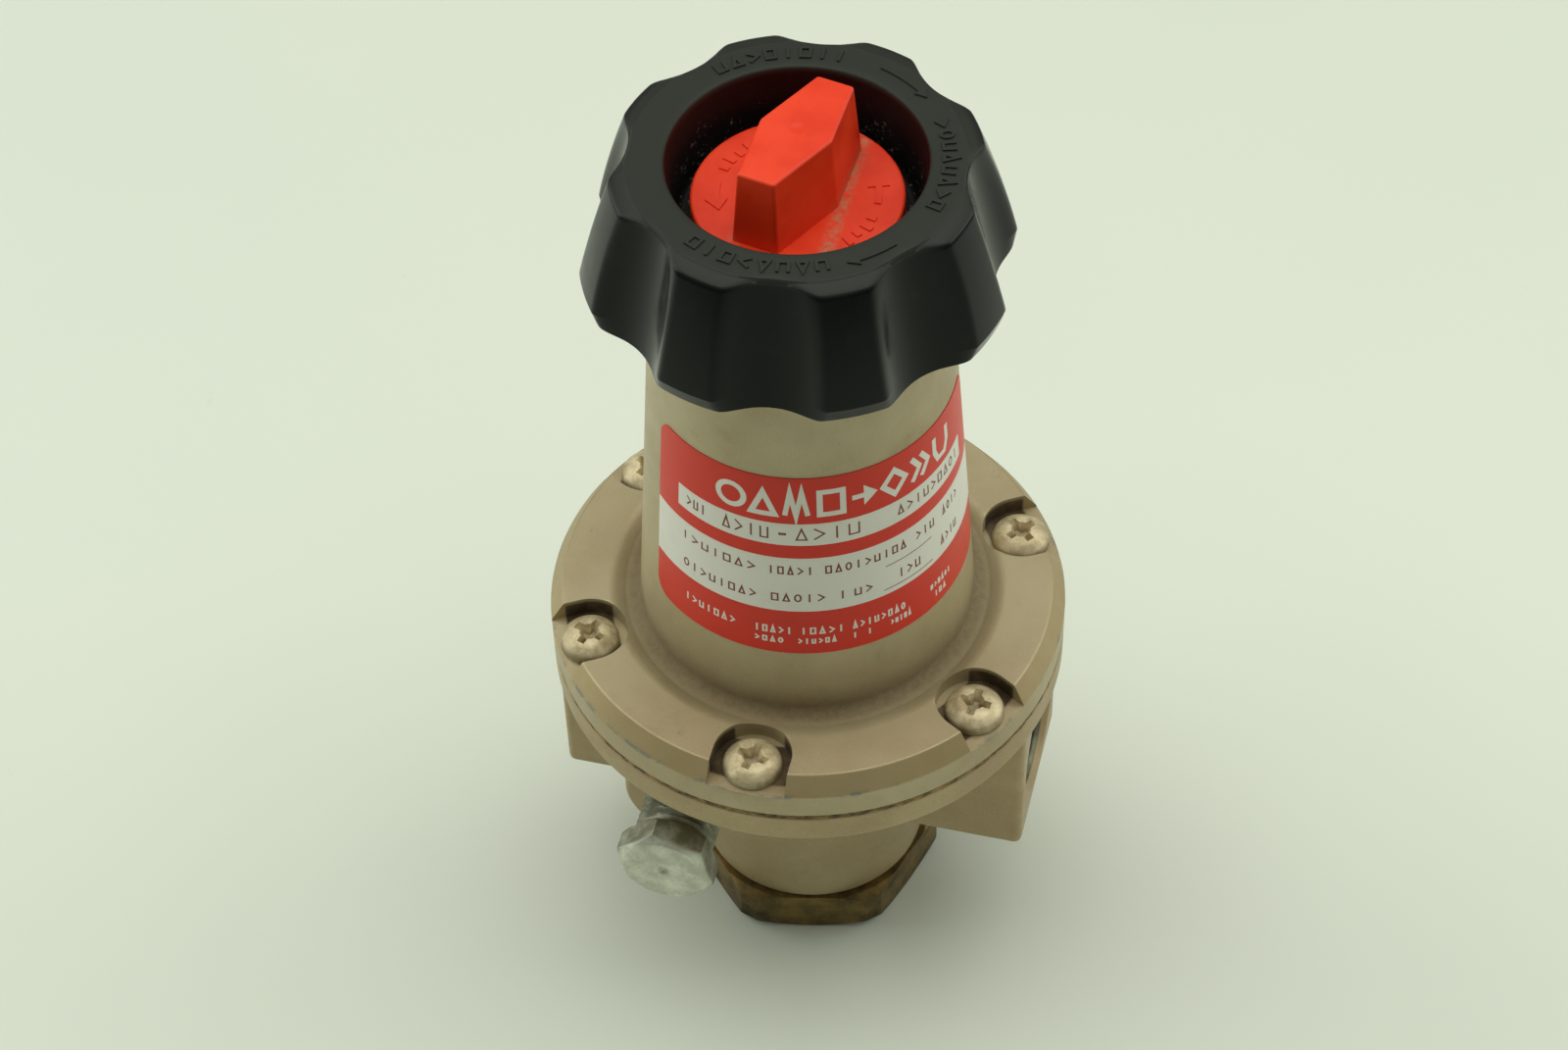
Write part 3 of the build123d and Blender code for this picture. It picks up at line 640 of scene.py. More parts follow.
def shifted_sides(points, distance, closed=True):
    """A chain of points with each side moved to its right by distance, mitred at the corners."""
    moved = []
    count = len(points)
    for i, point in enumerate(points):
        here = Vector(point)
        before = here - Vector(points[i - 1])
        after = Vector(points[(i + 1) % count]) - here
        if not closed and i == 0:
            before = after
        if not closed and i == count - 1:
            after = before
        a = Vector((before.y, -before.x)).normalized()
        b = Vector((after.y, -after.x)).normalized()
        moved.append(here + (a + b) * (distance / (1 + a.dot(b))))
    return moved


def ribbon(points, width, thickness, closed=False):
    """A flat band of one width along a chain of (x, y) points, standing on level 0."""
    bm = bmesh.new()
    sides = [
        loop_of(bm, shifted_sides(points, way * width / 2, closed), 0, closed) for way in (-1, 1)
    ]
    return thicken(bm, bmesh.ops.bridge_loops(bm, edges=sides[0] + sides[1])["faces"], thickness)


def thicken(bm, faces, thickness):
    """Grow faces upwards into a solid."""
    grown = bmesh.ops.extrude_face_region(bm, geom=faces)
    top = [v for v in grown["geom"] if isinstance(v, bmesh.types.BMVert)]
    bmesh.ops.translate(bm, verts=top, vec=(0, 0, thickness * MM))
    return outward(bm)


def box_path(low_x, high_x, low_y, high_y):
    return [(low_x, low_y), (high_x, low_y), (high_x, high_y), (low_x, high_y)]


def circle_path(x, y, radius, steps=24):
    turns = [FULL_TURN * k / steps for k in range(steps)]
    return [(x + radius * math.cos(t), y + radius * math.sin(t)) for t in turns]


def sliced(bm, step=1.1):
    """Cut a flat piece across X every step, so that it can bend."""
    low = min(v.co.x for v in bm.verts)
    high = max(v.co.x for v in bm.verts)
    cuts = int((high - low) / (step * MM))
    for k in range(1, cuts + 1):
        x = low + (high - low) * k / (cuts + 1)
        geom = bm.verts[:] + bm.edges[:] + bm.faces[:]
        bmesh.ops.bisect_plane(bm, geom=geom, plane_co=(x, 0, 0), plane_no=(1, 0, 0), dist=1e-7)
    return bm


def placed(bm, place):
    """Every point of a flat piece put where place(x, y, height) says, in millimetres."""
    for v in bm.verts:
        v.co = place(*(v.co / MM)) * MM
    return outward(bm)


def threaded(bm, pitch, depth, low, high, inner=False):
    """Press a screw thread into the round wall of a turned bar between two levels."""
    for v in bm.verts:
        x, y, z = v.co / MM
        radius = math.hypot(x, y)
        if not low <= z <= high or radius < 1.0:
            continue
        wave = (z / pitch - math.atan2(y, x) / FULL_TURN) % 1.0
        crest = 1 - abs(2 * wave - 1)
        fade = min(1.0, (z - low) / pitch, (high - z) / pitch)
        change = depth * fade * (crest if inner else crest - 1)
        scale = (radius - change if inner else radius + change) / radius
        v.co = Vector((v.co.x * scale, v.co.y * scale, v.co.z))
    return bm


def levels(low, high, step):
    count = max(1, round((high - low) / step))
    return [low + (high - low) * k / count for k in range(count + 1)]


# ---- bonnet

TROUGH_Z = SHOULDER_Z - TROUGH_DEPTH
BUSHING_RADIUS = 8.55
CAVITY_RADIUS = CONE_TOP_RADIUS - 2.55
CAVITY_TOP_Z = bonnet_high.z - 7.0
PAN_TOP_Z = seam_high.z + 4.0
CAVITY_FOOT_Z = PAN_TOP_Z + 35.0
VENT_RADIUS = 1.5
VENT_Z = seam_high.z + 17.6
SCREW_ANGLES = [SCREW_FIRST_ANGLE + 360 / SCREW_COUNT * k for k in range(SCREW_COUNT)]


def at_screw(bm, angle):
    """A cutter moved from the Z axis to the screw circle, at an angle."""
    return move(bm, rotated(angle) @ shifted(SCREW_CIRCLE, 0, 0))


def notch_outline():
    """The U of a screw notch, its round end inwards, about the screw's axis."""
    turns = [math.radians(90 + 180 * k / 24) for k in range(25)]
    arc = [(NOTCH_RADIUS * math.cos(t), NOTCH_RADIUS * math.sin(t)) for t in turns]
    reach = FLANGE_RADIUS - SCREW_CIRCLE + 2
    return arc + [(reach, -NOTCH_RADIUS), (reach, NOTCH_RADIUS)]


def make_bonnet():
    outline = [
        (PAN_RADIUS, seam_high.z, 0.2),
        (FLANGE_RADIUS, seam_high.z, 0.35),
        (FLANGE_RADIUS, CHAMFER_Z, 0.45),
        (CHAMFER_RADIUS, SHOULDER_Z, 0.5),
        (CONE_BASE_RADIUS + LIP_WIDTH + 1.7, SHOULDER_Z, 3.5),
        (CONE_BASE_RADIUS + LIP_WIDTH - 0.4, TROUGH_Z, 1.2),
        (CONE_BASE_RADIUS + CONE_TAPER * TROUGH_DEPTH, TROUGH_Z, 1.9),
        (CONE_TOP_RADIUS, bonnet_high.z, 1.2),
        (BUSHING_RADIUS, bonnet_high.z, 0.2),
        (BUSHING_RADIUS, CAVITY_TOP_Z, 0.2),
        (CAVITY_RADIUS, CAVITY_TOP_Z, 1.5),
        (CAVITY_RADIUS, CAVITY_FOOT_Z, 4.0),
        (CONE_BASE_RADIUS - 4.6, PAN_TOP_Z, 1.5),
        (PAN_RADIUS, PAN_TOP_Z, 0.4),
    ]
    piece = as_object("bonnet_shell", turned(outline, steps=240, closed=True))
    for angle in SCREW_ANGLES:
        carve(piece, at_screw(plate(notch_outline(), NOTCH_FLOOR_Z, SHOULDER_Z + 2), angle))
        carve(piece, at_screw(rod(SCREW_HOLE_RADIUS, seam_high.z - 1, NOTCH_FLOOR_Z + 1, 32), angle))
    rib_low = (-1.5, CAVITY_RADIUS - 1.8, CAVITY_FOOT_Z + 3)
    rib_high = (1.5, CAVITY_RADIUS + 1, CAVITY_TOP_Z + 1)
    for side in (-1, 1):
        rib = brick(rib_low, rib_high, 0.3)
        carve(piece, move(rib, rotated(90 - 90 * side)), "UNION")
    vent = move(rod(VENT_RADIUS, 10, FLANGE_RADIUS, 32), rotated(-90, "X"))
    carve(piece, move(vent, shifted(0, 0, VENT_Z)))
    soften(piece, 0.2, 2)
    return dress(piece, "housing", enamel, ["bonnet"])


# ---- body

inlet = next(m for m in frame["record"]["mounts"] if m["name"] == "inlet_port")
PORT_RADIUS = inlet["dims"]["r_mm"]
PORT_Z = inlet["pos_m"][2] / MM
BLOCK_LENGTH = 77.4
BLOCK_WIDTH = 28.0
BODY_FLANGE = 5.6
BLOCK_TOP_Z = body_high.z - BODY_FLANGE
BLOCK_BOTTOM_Z = BLOCK_TOP_Z - 28.0
BOSS_RADIUS = 20.6
BOSS_DRAFT = 1.8
GAUGE_X = -14.0
GAUGE_PAD_RADIUS = 10.5
GAUGE_PAD_REACH = 27.0
GAUGE_PORT_RADIUS = 6.6
GROOVE_RADIUS = 16.95
CAP_BORE_RADIUS = 14.5
CHAMBER_RADIUS = 13.0
SEAT_BORE_RADIUS = 9.0
WELL_RADIUS = 12.0
PASSAGE_RADIUS = 6.0
RISER_RADIUS = 3.5
TAPPED_RADIUS = 2.45
CORE_RADIUS = 8.2
PORT_END_X = BLOCK_LENGTH / 2 - 14.0
CORE_END_X = CHAMBER_RADIUS + 3.5
PORT_PITCH = 1.814
THREAD_DEPTH = 0.85


def port_bore():
    """A threaded port, its lead-in and its plain core, as one turned cutter along Z."""
    mouth = BLOCK_LENGTH / 2
    outline = [
        (0, CORE_END_X),
        (CORE_RADIUS, CORE_END_X),
        (CORE_RADIUS, PORT_END_X),
        (PORT_RADIUS, PORT_END_X),
        (PORT_RADIUS, mouth - 0.9),
        (PORT_RADIUS + 1.0, mouth + 0.1),
        (PORT_RADIUS + 1.0, mouth + 1),
        (0, mouth + 1),
    ]
    return turned(outline, steps=96)


def valve_bore():
    """The stepped bore on the valve axis, from the cap's groove up to the diaphragm's pan."""
    stages = [
        (GROOVE_RADIUS, body_low.z + 2.2),
        (CAP_BORE_RADIUS, cap_high.z + 1),
        (CHAMBER_RADIUS, PORT_Z + 2),
        (SEAT_BORE_RADIUS, PORT_Z + 8),
        (WELL_RADIUS, body_high.z - 3.2),
        (PAN_RADIUS, body_high.z + 1),
    ]
    level = body_low.z - 1
    outline = [(0, level)]
    for radius, top in stages:
        outline += [(radius, level), (radius, top)]
        level = top
    return turned(outline + [(0, level)], steps=192)


def body_cutters():
    """The bores on the valve axis, the ports, the passages and the screw holes."""
    cutters = [valve_bore()]
    for side in (-1, 1):
        cutters.append(move(port_bore(), shifted(0, 0, PORT_Z) @ rotated(90 * side, "Y")))
        gauge = rod(GAUGE_PORT_RADIUS, GAUGE_PAD_REACH - 11, GAUGE_PAD_REACH + 1)
        cutters.append(move(gauge, shifted(GAUGE_X, 0, PORT_Z) @ rotated(90 * side, "X")))
    inlet_passage = rod(PASSAGE_RADIUS, CHAMBER_RADIUS - 2, CORE_END_X + 1)
    cutters.append(move(inlet_passage, shifted(0, 0, PORT_Z - 6) @ rotated(90, "Y")))
    riser = rod(RISER_RADIUS, PORT_Z, body_high.z - 1)
    cutters.append(move(riser, shifted(-(CORE_END_X + PORT_END_X) / 2, 0, 0)))
    for angle in SCREW_ANGLES:
        cutters.append(at_screw(rod(TAPPED_RADIUS, BLOCK_TOP_Z - 1, body_high.z + 1, 32), angle))
    return cutters


def make_body():
    flange = [
        (0, BLOCK_TOP_Z),
        (FLANGE_RADIUS, BLOCK_TOP_Z, 1.0),
        (FLANGE_RADIUS, body_high.z, 0.35),
        (0, body_high.z),
    ]
    boss = [
        (0, body_low.z),
        (BOSS_RADIUS - BOSS_DRAFT, body_low.z, 0.7),
        (BOSS_RADIUS, BLOCK_BOTTOM_Z, 6.0),
        (BOSS_RADIUS, BLOCK_TOP_Z - 1.6, 0.6),
        (BOSS_RADIUS + 1.6, BLOCK_TOP_Z + 0.6),
        (0, BLOCK_TOP_Z + 0.6),
    ]
    piece = as_object("body_casting", turned(flange, steps=240))
    half_length, half_width = BLOCK_LENGTH / 2, BLOCK_WIDTH / 2
    block_low = (-half_length, -half_width, BLOCK_BOTTOM_Z)
    block_high = (half_length, half_width, BLOCK_TOP_Z + 1.5)
    carve(piece, brick(block_low, block_high, 1.3, 4), "UNION")
    carve(piece, turned(boss, steps=180), "UNION")
    pad = [
        (0, 0),
        (GAUGE_PAD_RADIUS, 0),
        (GAUGE_PAD_RADIUS, GAUGE_PAD_REACH, 0.9),
        (0, GAUGE_PAD_REACH),
    ]
    for side in (-1, 1):
        turn = shifted(GAUGE_X, 0, PORT_Z) @ rotated(90 * side, "X")
        carve(piece, move(turned(pad, steps=96), turn), "UNION")
        half, reach = GAUGE_PAD_RADIUS - 0.02, GAUGE_PAD_REACH - 0.02
        upper = brick((-half, 0, 0), (half, reach, 15.0), 0.9, 3)
        carve(piece, move(upper, shifted(GAUGE_X, 0, PORT_Z) @ rotated(90 + 90 * side)), "UNION")
    for cutter in body_cutters():
        carve(piece, cutter)
    return dress(piece, "housing", body_enamel_in_shade, ["body"])


def make_port_threads():
    """The internal pipe threads of the two ports, as sleeves seated in their bores."""
    low, high = PORT_END_X + 0.3, BLOCK_LENGTH / 2 - 1.0
    for side, name in ((1, "inlet_thread"), (-1, "outlet_thread")):
        rows = [(PORT_RADIUS - 0.02, z) for z in levels(low, high, PORT_PITCH / 8)]
        wall = rows + [(PORT_RADIUS + 0.15, high), (PORT_RADIUS + 0.15, low)]
        sleeve = turned(wall, steps=96, closed=True)
        threaded(sleeve, PORT_PITCH, THREAD_DEPTH, low, high, inner=True)
        move(sleeve, shifted(0, 0, PORT_Z) @ rotated(90 * side, "Y"))
        dress(as_object(name, sleeve), "housing", port_metal, sharp=50)


# ---- screws, seam, cap and plugs

HEAD_RADIUS = 4.65
HEAD_HEIGHT = 2.9
RECESS_DEPTH = 1.9
CAP_FLATS = 38.4
CAP_TURN = -77.7
CAP_THREAD_RADIUS = 14.45
SPRING_POCKET = (5.0, 9.5, 7.3)
SHANK_RADIUS = 2.4


def cross_recess(top):
    """A cross recess with tapering arms, as a cutter."""
    arms = []
    for turn in (0, 90):
        foot, mouth = box_path(-1.3, 1.3, -0.42, 0.42), box_path(-2.95, 2.95, -0.72, 0.72)
        arm = lofted(foot, top - RECESS_DEPTH, mouth, top + 0.3)
        arms.append(move(arm, rotated(turn)))
    arms.append(rod(0.75, top - RECESS_DEPTH, top + 0.3, 16, 1.75))
    return arms


def make_screws():
    """Six pan-head screws, each turned its own way in its notch."""
    top = NOTCH_FLOOR_Z + HEAD_HEIGHT
    outline = [
        (0, screws_low.z),
        (SHANK_RADIUS, screws_low.z, 0.4),
        (SHANK_RADIUS, NOTCH_FLOOR_Z + 0.02),
        (HEAD_RADIUS, NOTCH_FLOOR_Z + 0.02, 0.15),
        (HEAD_RADIUS, NOTCH_FLOOR_Z + 1.35, 1.1),
        (HEAD_RADIUS * 0.62, top - 0.12, 2.4),
        (0, top),
    ]
    blank = as_object("screw_blank", turned(outline, steps=72, arc_steps=6))
    for cutter in cross_recess(top):
        carve(blank, cutter)
    soften(blank, 0.13, 2, 45)
    screws = []
    for k, angle in enumerate(SCREW_ANGLES):
        bm = bmesh.new()
        bm.from_mesh(blank.data)
        screws.append(move(bm, rotated(angle) @ shifted(SCREW_CIRCLE, 0, 0) @ rotated(19 + 37 * k)))
    bpy.data.objects.remove(blank)
    piece = as_object("flange_screws", joined(screws))
    return dress(piece, "housing", screw_finish, ["bonnet_screws"])


def make_seam():
    """The diaphragm's cut edge between the flanges, a little ragged and set back."""
    edge = FLANGE_RADIUS - 0.12
    rows = [(edge, z) for z in levels(seam_low.z, seam_high.z, 0.2)]
    bm = turned([(5.0, seam_low.z)] + rows + [(5.0, seam_high.z)], steps=480, closed=True)
    for v in bm.verts:
        radius = math.hypot(v.co.x, v.co.y)
        if radius > (edge - 1) * MM:
            ragged = 1 + 0.0035 * noise.noise(v.co * 900)
            v.co = Vector((v.co.x * ragged, v.co.y * ragged, v.co.z))
    piece = as_object("diaphragm_sheet", bm)
    for angle in SCREW_ANGLES:
        carve(piece, at_screw(rod(SCREW_HOLE_RADIUS, seam_low.z - 1, seam_high.z + 1, 24), angle))
    return dress(piece, "housing", diaphragm_finish, ["diaphragm"])


def make_cap():
    """The brass hexagon cap with its turned bevels, thread and valve guide."""
    hex_top, top = body_low.z, cap_high.z
    corner = CAP_FLATS / math.sqrt(3)
    piece = as_object("hexagon_cap", plate(regular(6, CAP_FLATS, CAP_TURN), 0, hex_top))
    blank = [
        (0, 0),
        (corner - 3.5, 0, 0.5),
        (corner - 0.8, 1.5, 0.6),
        (corner - 0.8, hex_top - 0.9, 0.5),
        (corner - 2.4, hex_top, 0.3),
        (0, hex_top),
    ]
    carve(piece, turned(blank, steps=180), "INTERSECT")
    soften(piece, 0.3, 3, 25)
    thread = [(0, hex_top - 1), (CAP_THREAD_RADIUS, hex_top - 1), (CAP_THREAD_RADIUS, top, 0.7), (0, top)]
    carve(piece, turned(thread), "UNION")
    inner, outer, depth = SPRING_POCKET
    carve(piece, turned(box_path(inner, outer, top - depth, top + 1), steps=96, closed=True))
    carve(piece, rod(6.0, top - 1.3, top + 1))
    carve(piece, rod(2.55, 4.0, top + 1, 48))
    return dress(piece, "housing", brass_finish, ["bottom_cap"])


PLUG_FLATS = 14.3
PLUG_HEAD = 4.6
PLUG_THREAD_RADIUS = GAUGE_PORT_RADIUS - 0.05
PLUG_HEX_TURN = 12.0
PLUG_PITCH = 1.411


def make_gauge_plug():
    """The hexagon pipe plug: a forged head and a bright thread with sealant in it."""
    end = -plug_low.y
    head_low = end - PLUG_HEAD
    corner = PLUG_FLATS / math.sqrt(3)
    piece = as_object("plug_head", plate(regular(6, PLUG_FLATS, PLUG_HEX_TURN), head_low, end))
    blank = [
        (0, head_low),
        (corner - 0.6, head_low, 0.2),
        (corner + 0.1, head_low + 0.7, 0.2),
        (corner + 0.1, end - 1.1, 0.4),
        (PLUG_FLATS / 2 - 0.5, end, 0.6),
        (0, end),
    ]
    carve(piece, turned(blank, steps=120), "INTERSECT")
    carve(piece, rod(0.5, end - 0.45, end + 0.3, 16, 1.4))
    soften(piece, 0.22, 2, 25)
    low = GAUGE_PAD_REACH - 6
    high = head_low + 0.4
    rows = [(PLUG_THREAD_RADIUS, z) for z in levels(low, high, PLUG_PITCH / 8)]
    shank = turned([(0, low)] + rows + [(0, high)], steps=72)
    threaded(shank, PLUG_PITCH, THREAD_DEPTH, low, high - 1.0)
    carve(piece, shank, "UNION")
    piece.data.transform(shifted(GAUGE_X, 0, PORT_Z) @ rotated(90, "X"))
    return dress(piece, "housing", zinc_finish, ["gauge_port_plug"], sharp=35)


# ---- knob

KNOB_BEVEL = 2.6
KNOB_LEAN = KNOB_FLUTE_TAPER / (knob_high.z - knob_low.z)
KNOB_FLUTE_LOW = 28.5
KNOB_SKIRT_RADIUS = 23.9
FACE_RADIUS = 24.4
SHOULDER_DROP = 0.95
DISH_FLOOR_RADIUS = 17.6
HUB_RADIUS = 11.0
HUB_BOTTOM_Z = bushing_high.z + 0.3
ROOF_Z = knob_low.z + 5.5
CREASE = 1.5


def knob_flute(level, turn):
    """How far out the wall of the nearest flute lies, at a level and an angle."""
    axis = KNOB_FLUTE_LOW - KNOB_LEAN * (level - knob_low.z) + KNOB_FLUTE_RADIUS
    pitch = FULL_TURN / KNOB_LOBES
    off = (turn - math.radians(KNOB_FLUTE_ANGLE) + pitch / 2) % pitch - pitch / 2
    inside = KNOB_FLUTE_RADIUS**2 - (axis * math.sin(off)) ** 2
    return axis * math.cos(off) - math.sqrt(inside) if inside > 0 else 2 * axis


def smaller(a, b, crease):
    """The smaller of two numbers, blended where they are within crease of each other."""
    share = min(1.0, max(0.0, 0.5 + 0.5 * (b - a) / crease))
    return b + (a - b) * share - crease * share * (1 - share)


def lobe_wall(level):
    """The radius of the barrelled outside of a lobe at a level."""
    share = (level - knob_low.z - KNOB_BEVEL) / (knob_high.z - knob_low.z - KNOB_BEVEL)
    straight = KNOB_LOBE_RADIUS + (KNOB_TOP_RADIUS - KNOB_LOBE_RADIUS) * share
    return straight + 4 * KNOB_BARREL * share * (1 - share)


def make_knob():
    foot = KNOB_LOBE_RADIUS - 0.7
    wall_low = knob_low.z + KNOB_BEVEL
    wall_high = knob_high.z - SHOULDER_DROP
    top_radius = lobe_wall(wall_high)
    wall = [(lobe_wall(z), z) for z in levels(wall_low, wall_high, 0.7)]
    wall[0] = (*wall[0][:2], 0.3)
    shoulder = [
        (top_radius - 0.25, wall_high + 0.22),
        (top_radius - 0.7, wall_high + 0.36),
        (FACE_RADIUS + 0.9, knob_high.z - 0.32),
        (FACE_RADIUS + 0.35, knob_high.z - 0.2),
        (FACE_RADIUS + 0.1, knob_high.z - 0.14),
    ]
    face = [(r, knob_high.z) for r in (FACE_RADIUS, 24.1, 23.8, 23.4, 22.8, 22.0, 21.0, 20.2)]
    outline = (
        [(KNOB_SKIRT_RADIUS, knob_low.z, 0.4), (26.0, knob_low.z), (28.0, knob_low.z)]
        + [(foot, knob_low.z, 0.35), ((foot + KNOB_LOBE_RADIUS) / 2, knob_low.z + KNOB_BEVEL / 2)]
        + wall
        + shoulder
        + face
        + [(RIM_RADIUS, knob_high.z, 0.5), (DISH_FLOOR_RADIUS, lock_low.z - 0.3, 1.2)]
        + [(0, lock_low.z - 0.3), (0, HUB_BOTTOM_Z), (HUB_RADIUS, HUB_BOTTOM_Z, 0.4)]
        + [(HUB_RADIUS, ROOF_Z, 0.6), (KNOB_SKIRT_RADIUS, ROOF_Z, 0.8)]
    )
    bm = turned(outline, steps=384, arc_steps=4, closed=True)
    for v in bm.verts:
        x, y, z = v.co / MM
        radius = math.hypot(x, y)
        if radius < RIM_RADIUS + 0.9 or (z < ROOF_Z + 1 and radius < KNOB_SKIRT_RADIUS + 0.6):
            continue
        bound = smaller(radius, knob_flute(z, math.atan2(y, x)), CREASE)
        cut = radius - bound
        if z > knob_high.z - 0.5:
            z -= 0.3 * min(1.0, cut / 0.9) ** 2
        v.co = Vector((x * bound / radius, y * bound / radius, z)) * MM
    piece = as_object("fluted_knob", bm)
    carve(piece, plate(regular(6, 10.2), HUB_BOTTOM_Z - 1, lock_low.z + 1))
    return dress(piece, "knob", knob_finish, ["adjusting_knob"], sharp=55)


def ring_place(top):
    """Where a flat mark goes on a level face: x is an angle in degrees and y a radius."""

    def place(x, y, height):
        turn = math.radians(x)
        return Vector((y * math.cos(turn), y * math.sin(turn), top + height))

    return place


def arrow_outline(start, end, radius, width, head):
    """A curved arrow from start to end in degrees, as (degrees, radius) points."""
    neck = end - math.copysign(head, end - start)
    turns = [start + (neck - start) * k / 6 for k in range(7)]
    outer = [(x, radius + width / 2) for x in turns]
    tip = [(neck, radius + 1.7 * width), (end, radius), (neck, radius - 1.7 * width)]
    inner = [(x, radius - width / 2) for x in reversed(turns)]
    return outer + tip + inner


def radial_bar(turn, low, high, width):
    half = math.degrees(width / (low + high))
    return [(turn - half, low), (turn + half, low), (turn + half, high), (turn - half, high)]


def raised_marks(name, outlines, top, height, body, material):
    """Flat outlines in (degrees, radius) raised on a level face, as one piece."""
    place = ring_place(top - 0.1)
    parts = [placed(plate(outline, 0, height + 0.1), place) for outline in outlines]
    return dress(as_object(name, joined(parts)), body, material)


SIGN_ORDER = (1, 4, 3, 0, 5, 2, 1, 3, 4, 1, 0, 5, 3)
SIGNS_IN_RUN = 8
SMALL_TURNS = [FULL_TURN * k / 14 for k in range(14)]


def small_sign(kind, x, y, wide, tall, stroke, height):
    """One small lined sign: a box, bar, ring, chevron, cup or triangle."""
    middle = x + wide / 2
    ring = [(middle + wide / 2 * math.cos(t), y + tall / 2 * (1 + math.sin(t))) for t in SMALL_TURNS]
    outlines = (
        (box_path(x, x + wide, y, y + tall), True),
        ([(middle, y - stroke / 2), (middle, y + tall + stroke / 2)], False),
        (ring, True),
        ([(x, y), (x + wide, y + tall / 2), (x, y + tall)], False),
        ([(x, y + tall), (x, y), (x + wide, y), (x + wide, y + tall)], False),
        ([(x, y), (x + wide, y), (middle, y + tall)], True),
    )
    points, closed = outlines[kind]
    return ribbon(points, stroke, height, closed)


def make_knob_marks():
    """Raised marks on the knob's face: two curved arrows and three runs of plain signs."""
    radius, tall, stroke, height = 20.75, 1.85, 0.42, 0.38
    place = ring_place(knob_high.z - 0.1)
    signs = []
    for start, end in ((136, 82), (33, -18), (-65, -122)):
        pitch = (start - end) / SIGNS_IN_RUN
        wide = math.radians(0.55 * pitch) * radius
        for k in range(SIGNS_IN_RUN):
            kind = SIGN_ORDER[(3 * k + SIGNS_IN_RUN + start) % len(SIGN_ORDER)]
            bm = small_sign(kind, 0, radius, wide, tall, stroke, height)
            left = start - k * pitch
            for v in bm.verts:
                v.co.x = (left - math.degrees(v.co.x / (radius * MM))) * MM
            signs.append(placed(bm, place))
    for start, end in ((70, 46), (-38, -58)):
        signs.append(placed(plate(arrow_outline(start, end, 22.0, 0.6, 4.5), 0, height), place))
    return dress(as_object("knob_marks", joined(signs)), "knob", knob_finish)


# ---- lock wing

DISC_TOP_Z = lock_high.z - 12.4
DISC_RADIUS = lock_high.x
STUD_RADIUS = 2.5
INSERT_RADIUS = 3.4
STUD_TOP_Z = DISC_TOP_Z + 2.2


def wing_outline():
    half = DISC_RADIUS - 3.9
    side = [(5.4, -1.2), (5.9, half - 1.1), (0.35, half)]
    return side + [(-x, -y) for x, y in side]


def make_lock():
    skirt = [
        (0, DISC_TOP_Z),
        (DISC_RADIUS, DISC_TOP_Z, 0.5),
        (DISC_RADIUS, lock_low.z, 0.2),
        (DISC_RADIUS - 1.6, lock_low.z, 0.2),
        (DISC_RADIUS - 1.6, DISC_TOP_Z - 1.8, 0.4),
        (0, DISC_TOP_Z - 1.8),
    ]
    piece = as_object("lock_wing", turned(skirt, steps=144))
    outline = wing_outline()
    wing = lofted(shifted_sides(outline, 0.9), DISC_TOP_Z - 0.4, outline, lock_high.z)
    sides = [e for e in wing.edges if any(v.co.z > DISC_TOP_Z * MM for v in e.verts)]
    rounded_edges(wing, sides, 0.42, 4)
    carve(piece, wing, "UNION")
    gate = bmesh.new()
    bmesh.ops.create_uvsphere(gate, u_segments=48, v_segments=24, radius=6 * MM)
    carve(piece, move(gate, shifted(0, 0.4, lock_high.z + 5.82)))
    carve(piece, rod(STUD_RADIUS, DISC_TOP_Z - 4, STUD_TOP_Z, 48))
    carve(piece, rod(INSERT_RADIUS, DISC_TOP_Z - 0.2, STUD_TOP_Z, 48))
    return dress(piece, "lock", wing_finish, ["lock_button"], sharp=30)


def make_lock_marks():
    """Raised arrows and a row of short bars on the disc, one set each side of the wing."""
    outlines = []
    for turn in (0, 180):
        outlines.append(arrow_outline(turn + 2, turn + 30, 11.6, 0.95, 11))
        for k in range(4):
            outlines.append(radial_bar(turn - 40 + 9 * k, 11.0, 12.9 - 0.5 * (k % 2), 0.8))
    return raised_marks("lock_marks", outlines, DISC_TOP_Z, 0.22, "lock", wing_finish)


# ---- label

LABEL_START = -138.5
LABEL_END = 10.0
LABEL_CORNER = 3.0
FILM = 0.13
BAND = 0.06
ARC = CONE_TOP_RADIUS + CONE_TAPER * (bonnet_high.z - (label_low.z + label_high.z) / 2)
DEGREE = math.radians(1) * ARC
STROKE = 0.95
FINE = 0.27
PRINT = 0.03
SIGNS_LOW = 113.2
SIGNS_HIGH = 118.7
SIGNS_START = -107.5
SIGN_PITCH = 12.2


def label_place(x, y, height):
    """A point of the flat print, x along the arc and y as a level, wrapped on the cone."""
    radius = CONE_TOP_RADIUS + CONE_TAPER * (bonnet_high.z - y) + height
    turn = x / ARC
    return Vector((radius * math.cos(turn), radius * math.sin(turn), y))


def label_piece(name, parts, lift, material):
    for bm in parts:
        bmesh.ops.translate(bm, verts=bm.verts, vec=(0, 0, lift * MM))
        placed(sliced(bm), label_place)
    return dress(as_object(name, joined(parts)), "housing", material, sharp=50)


def word(start, end, level, height, letters):
    """A row of small signs from one angle to another."""
    pitch = (end - start) * DEGREE / letters
    wide, tall = 0.68 * pitch - FINE, height - FINE
    signs = []
    for k in range(letters):
        x = start * DEGREE + k * pitch + FINE / 2
        kind = SIGN_ORDER[(k + 5 * letters + round(level)) % len(SIGN_ORDER)]
        signs.append(small_sign(kind, x, level + FINE / 2, wide, tall, FINE, PRINT))
    return signs


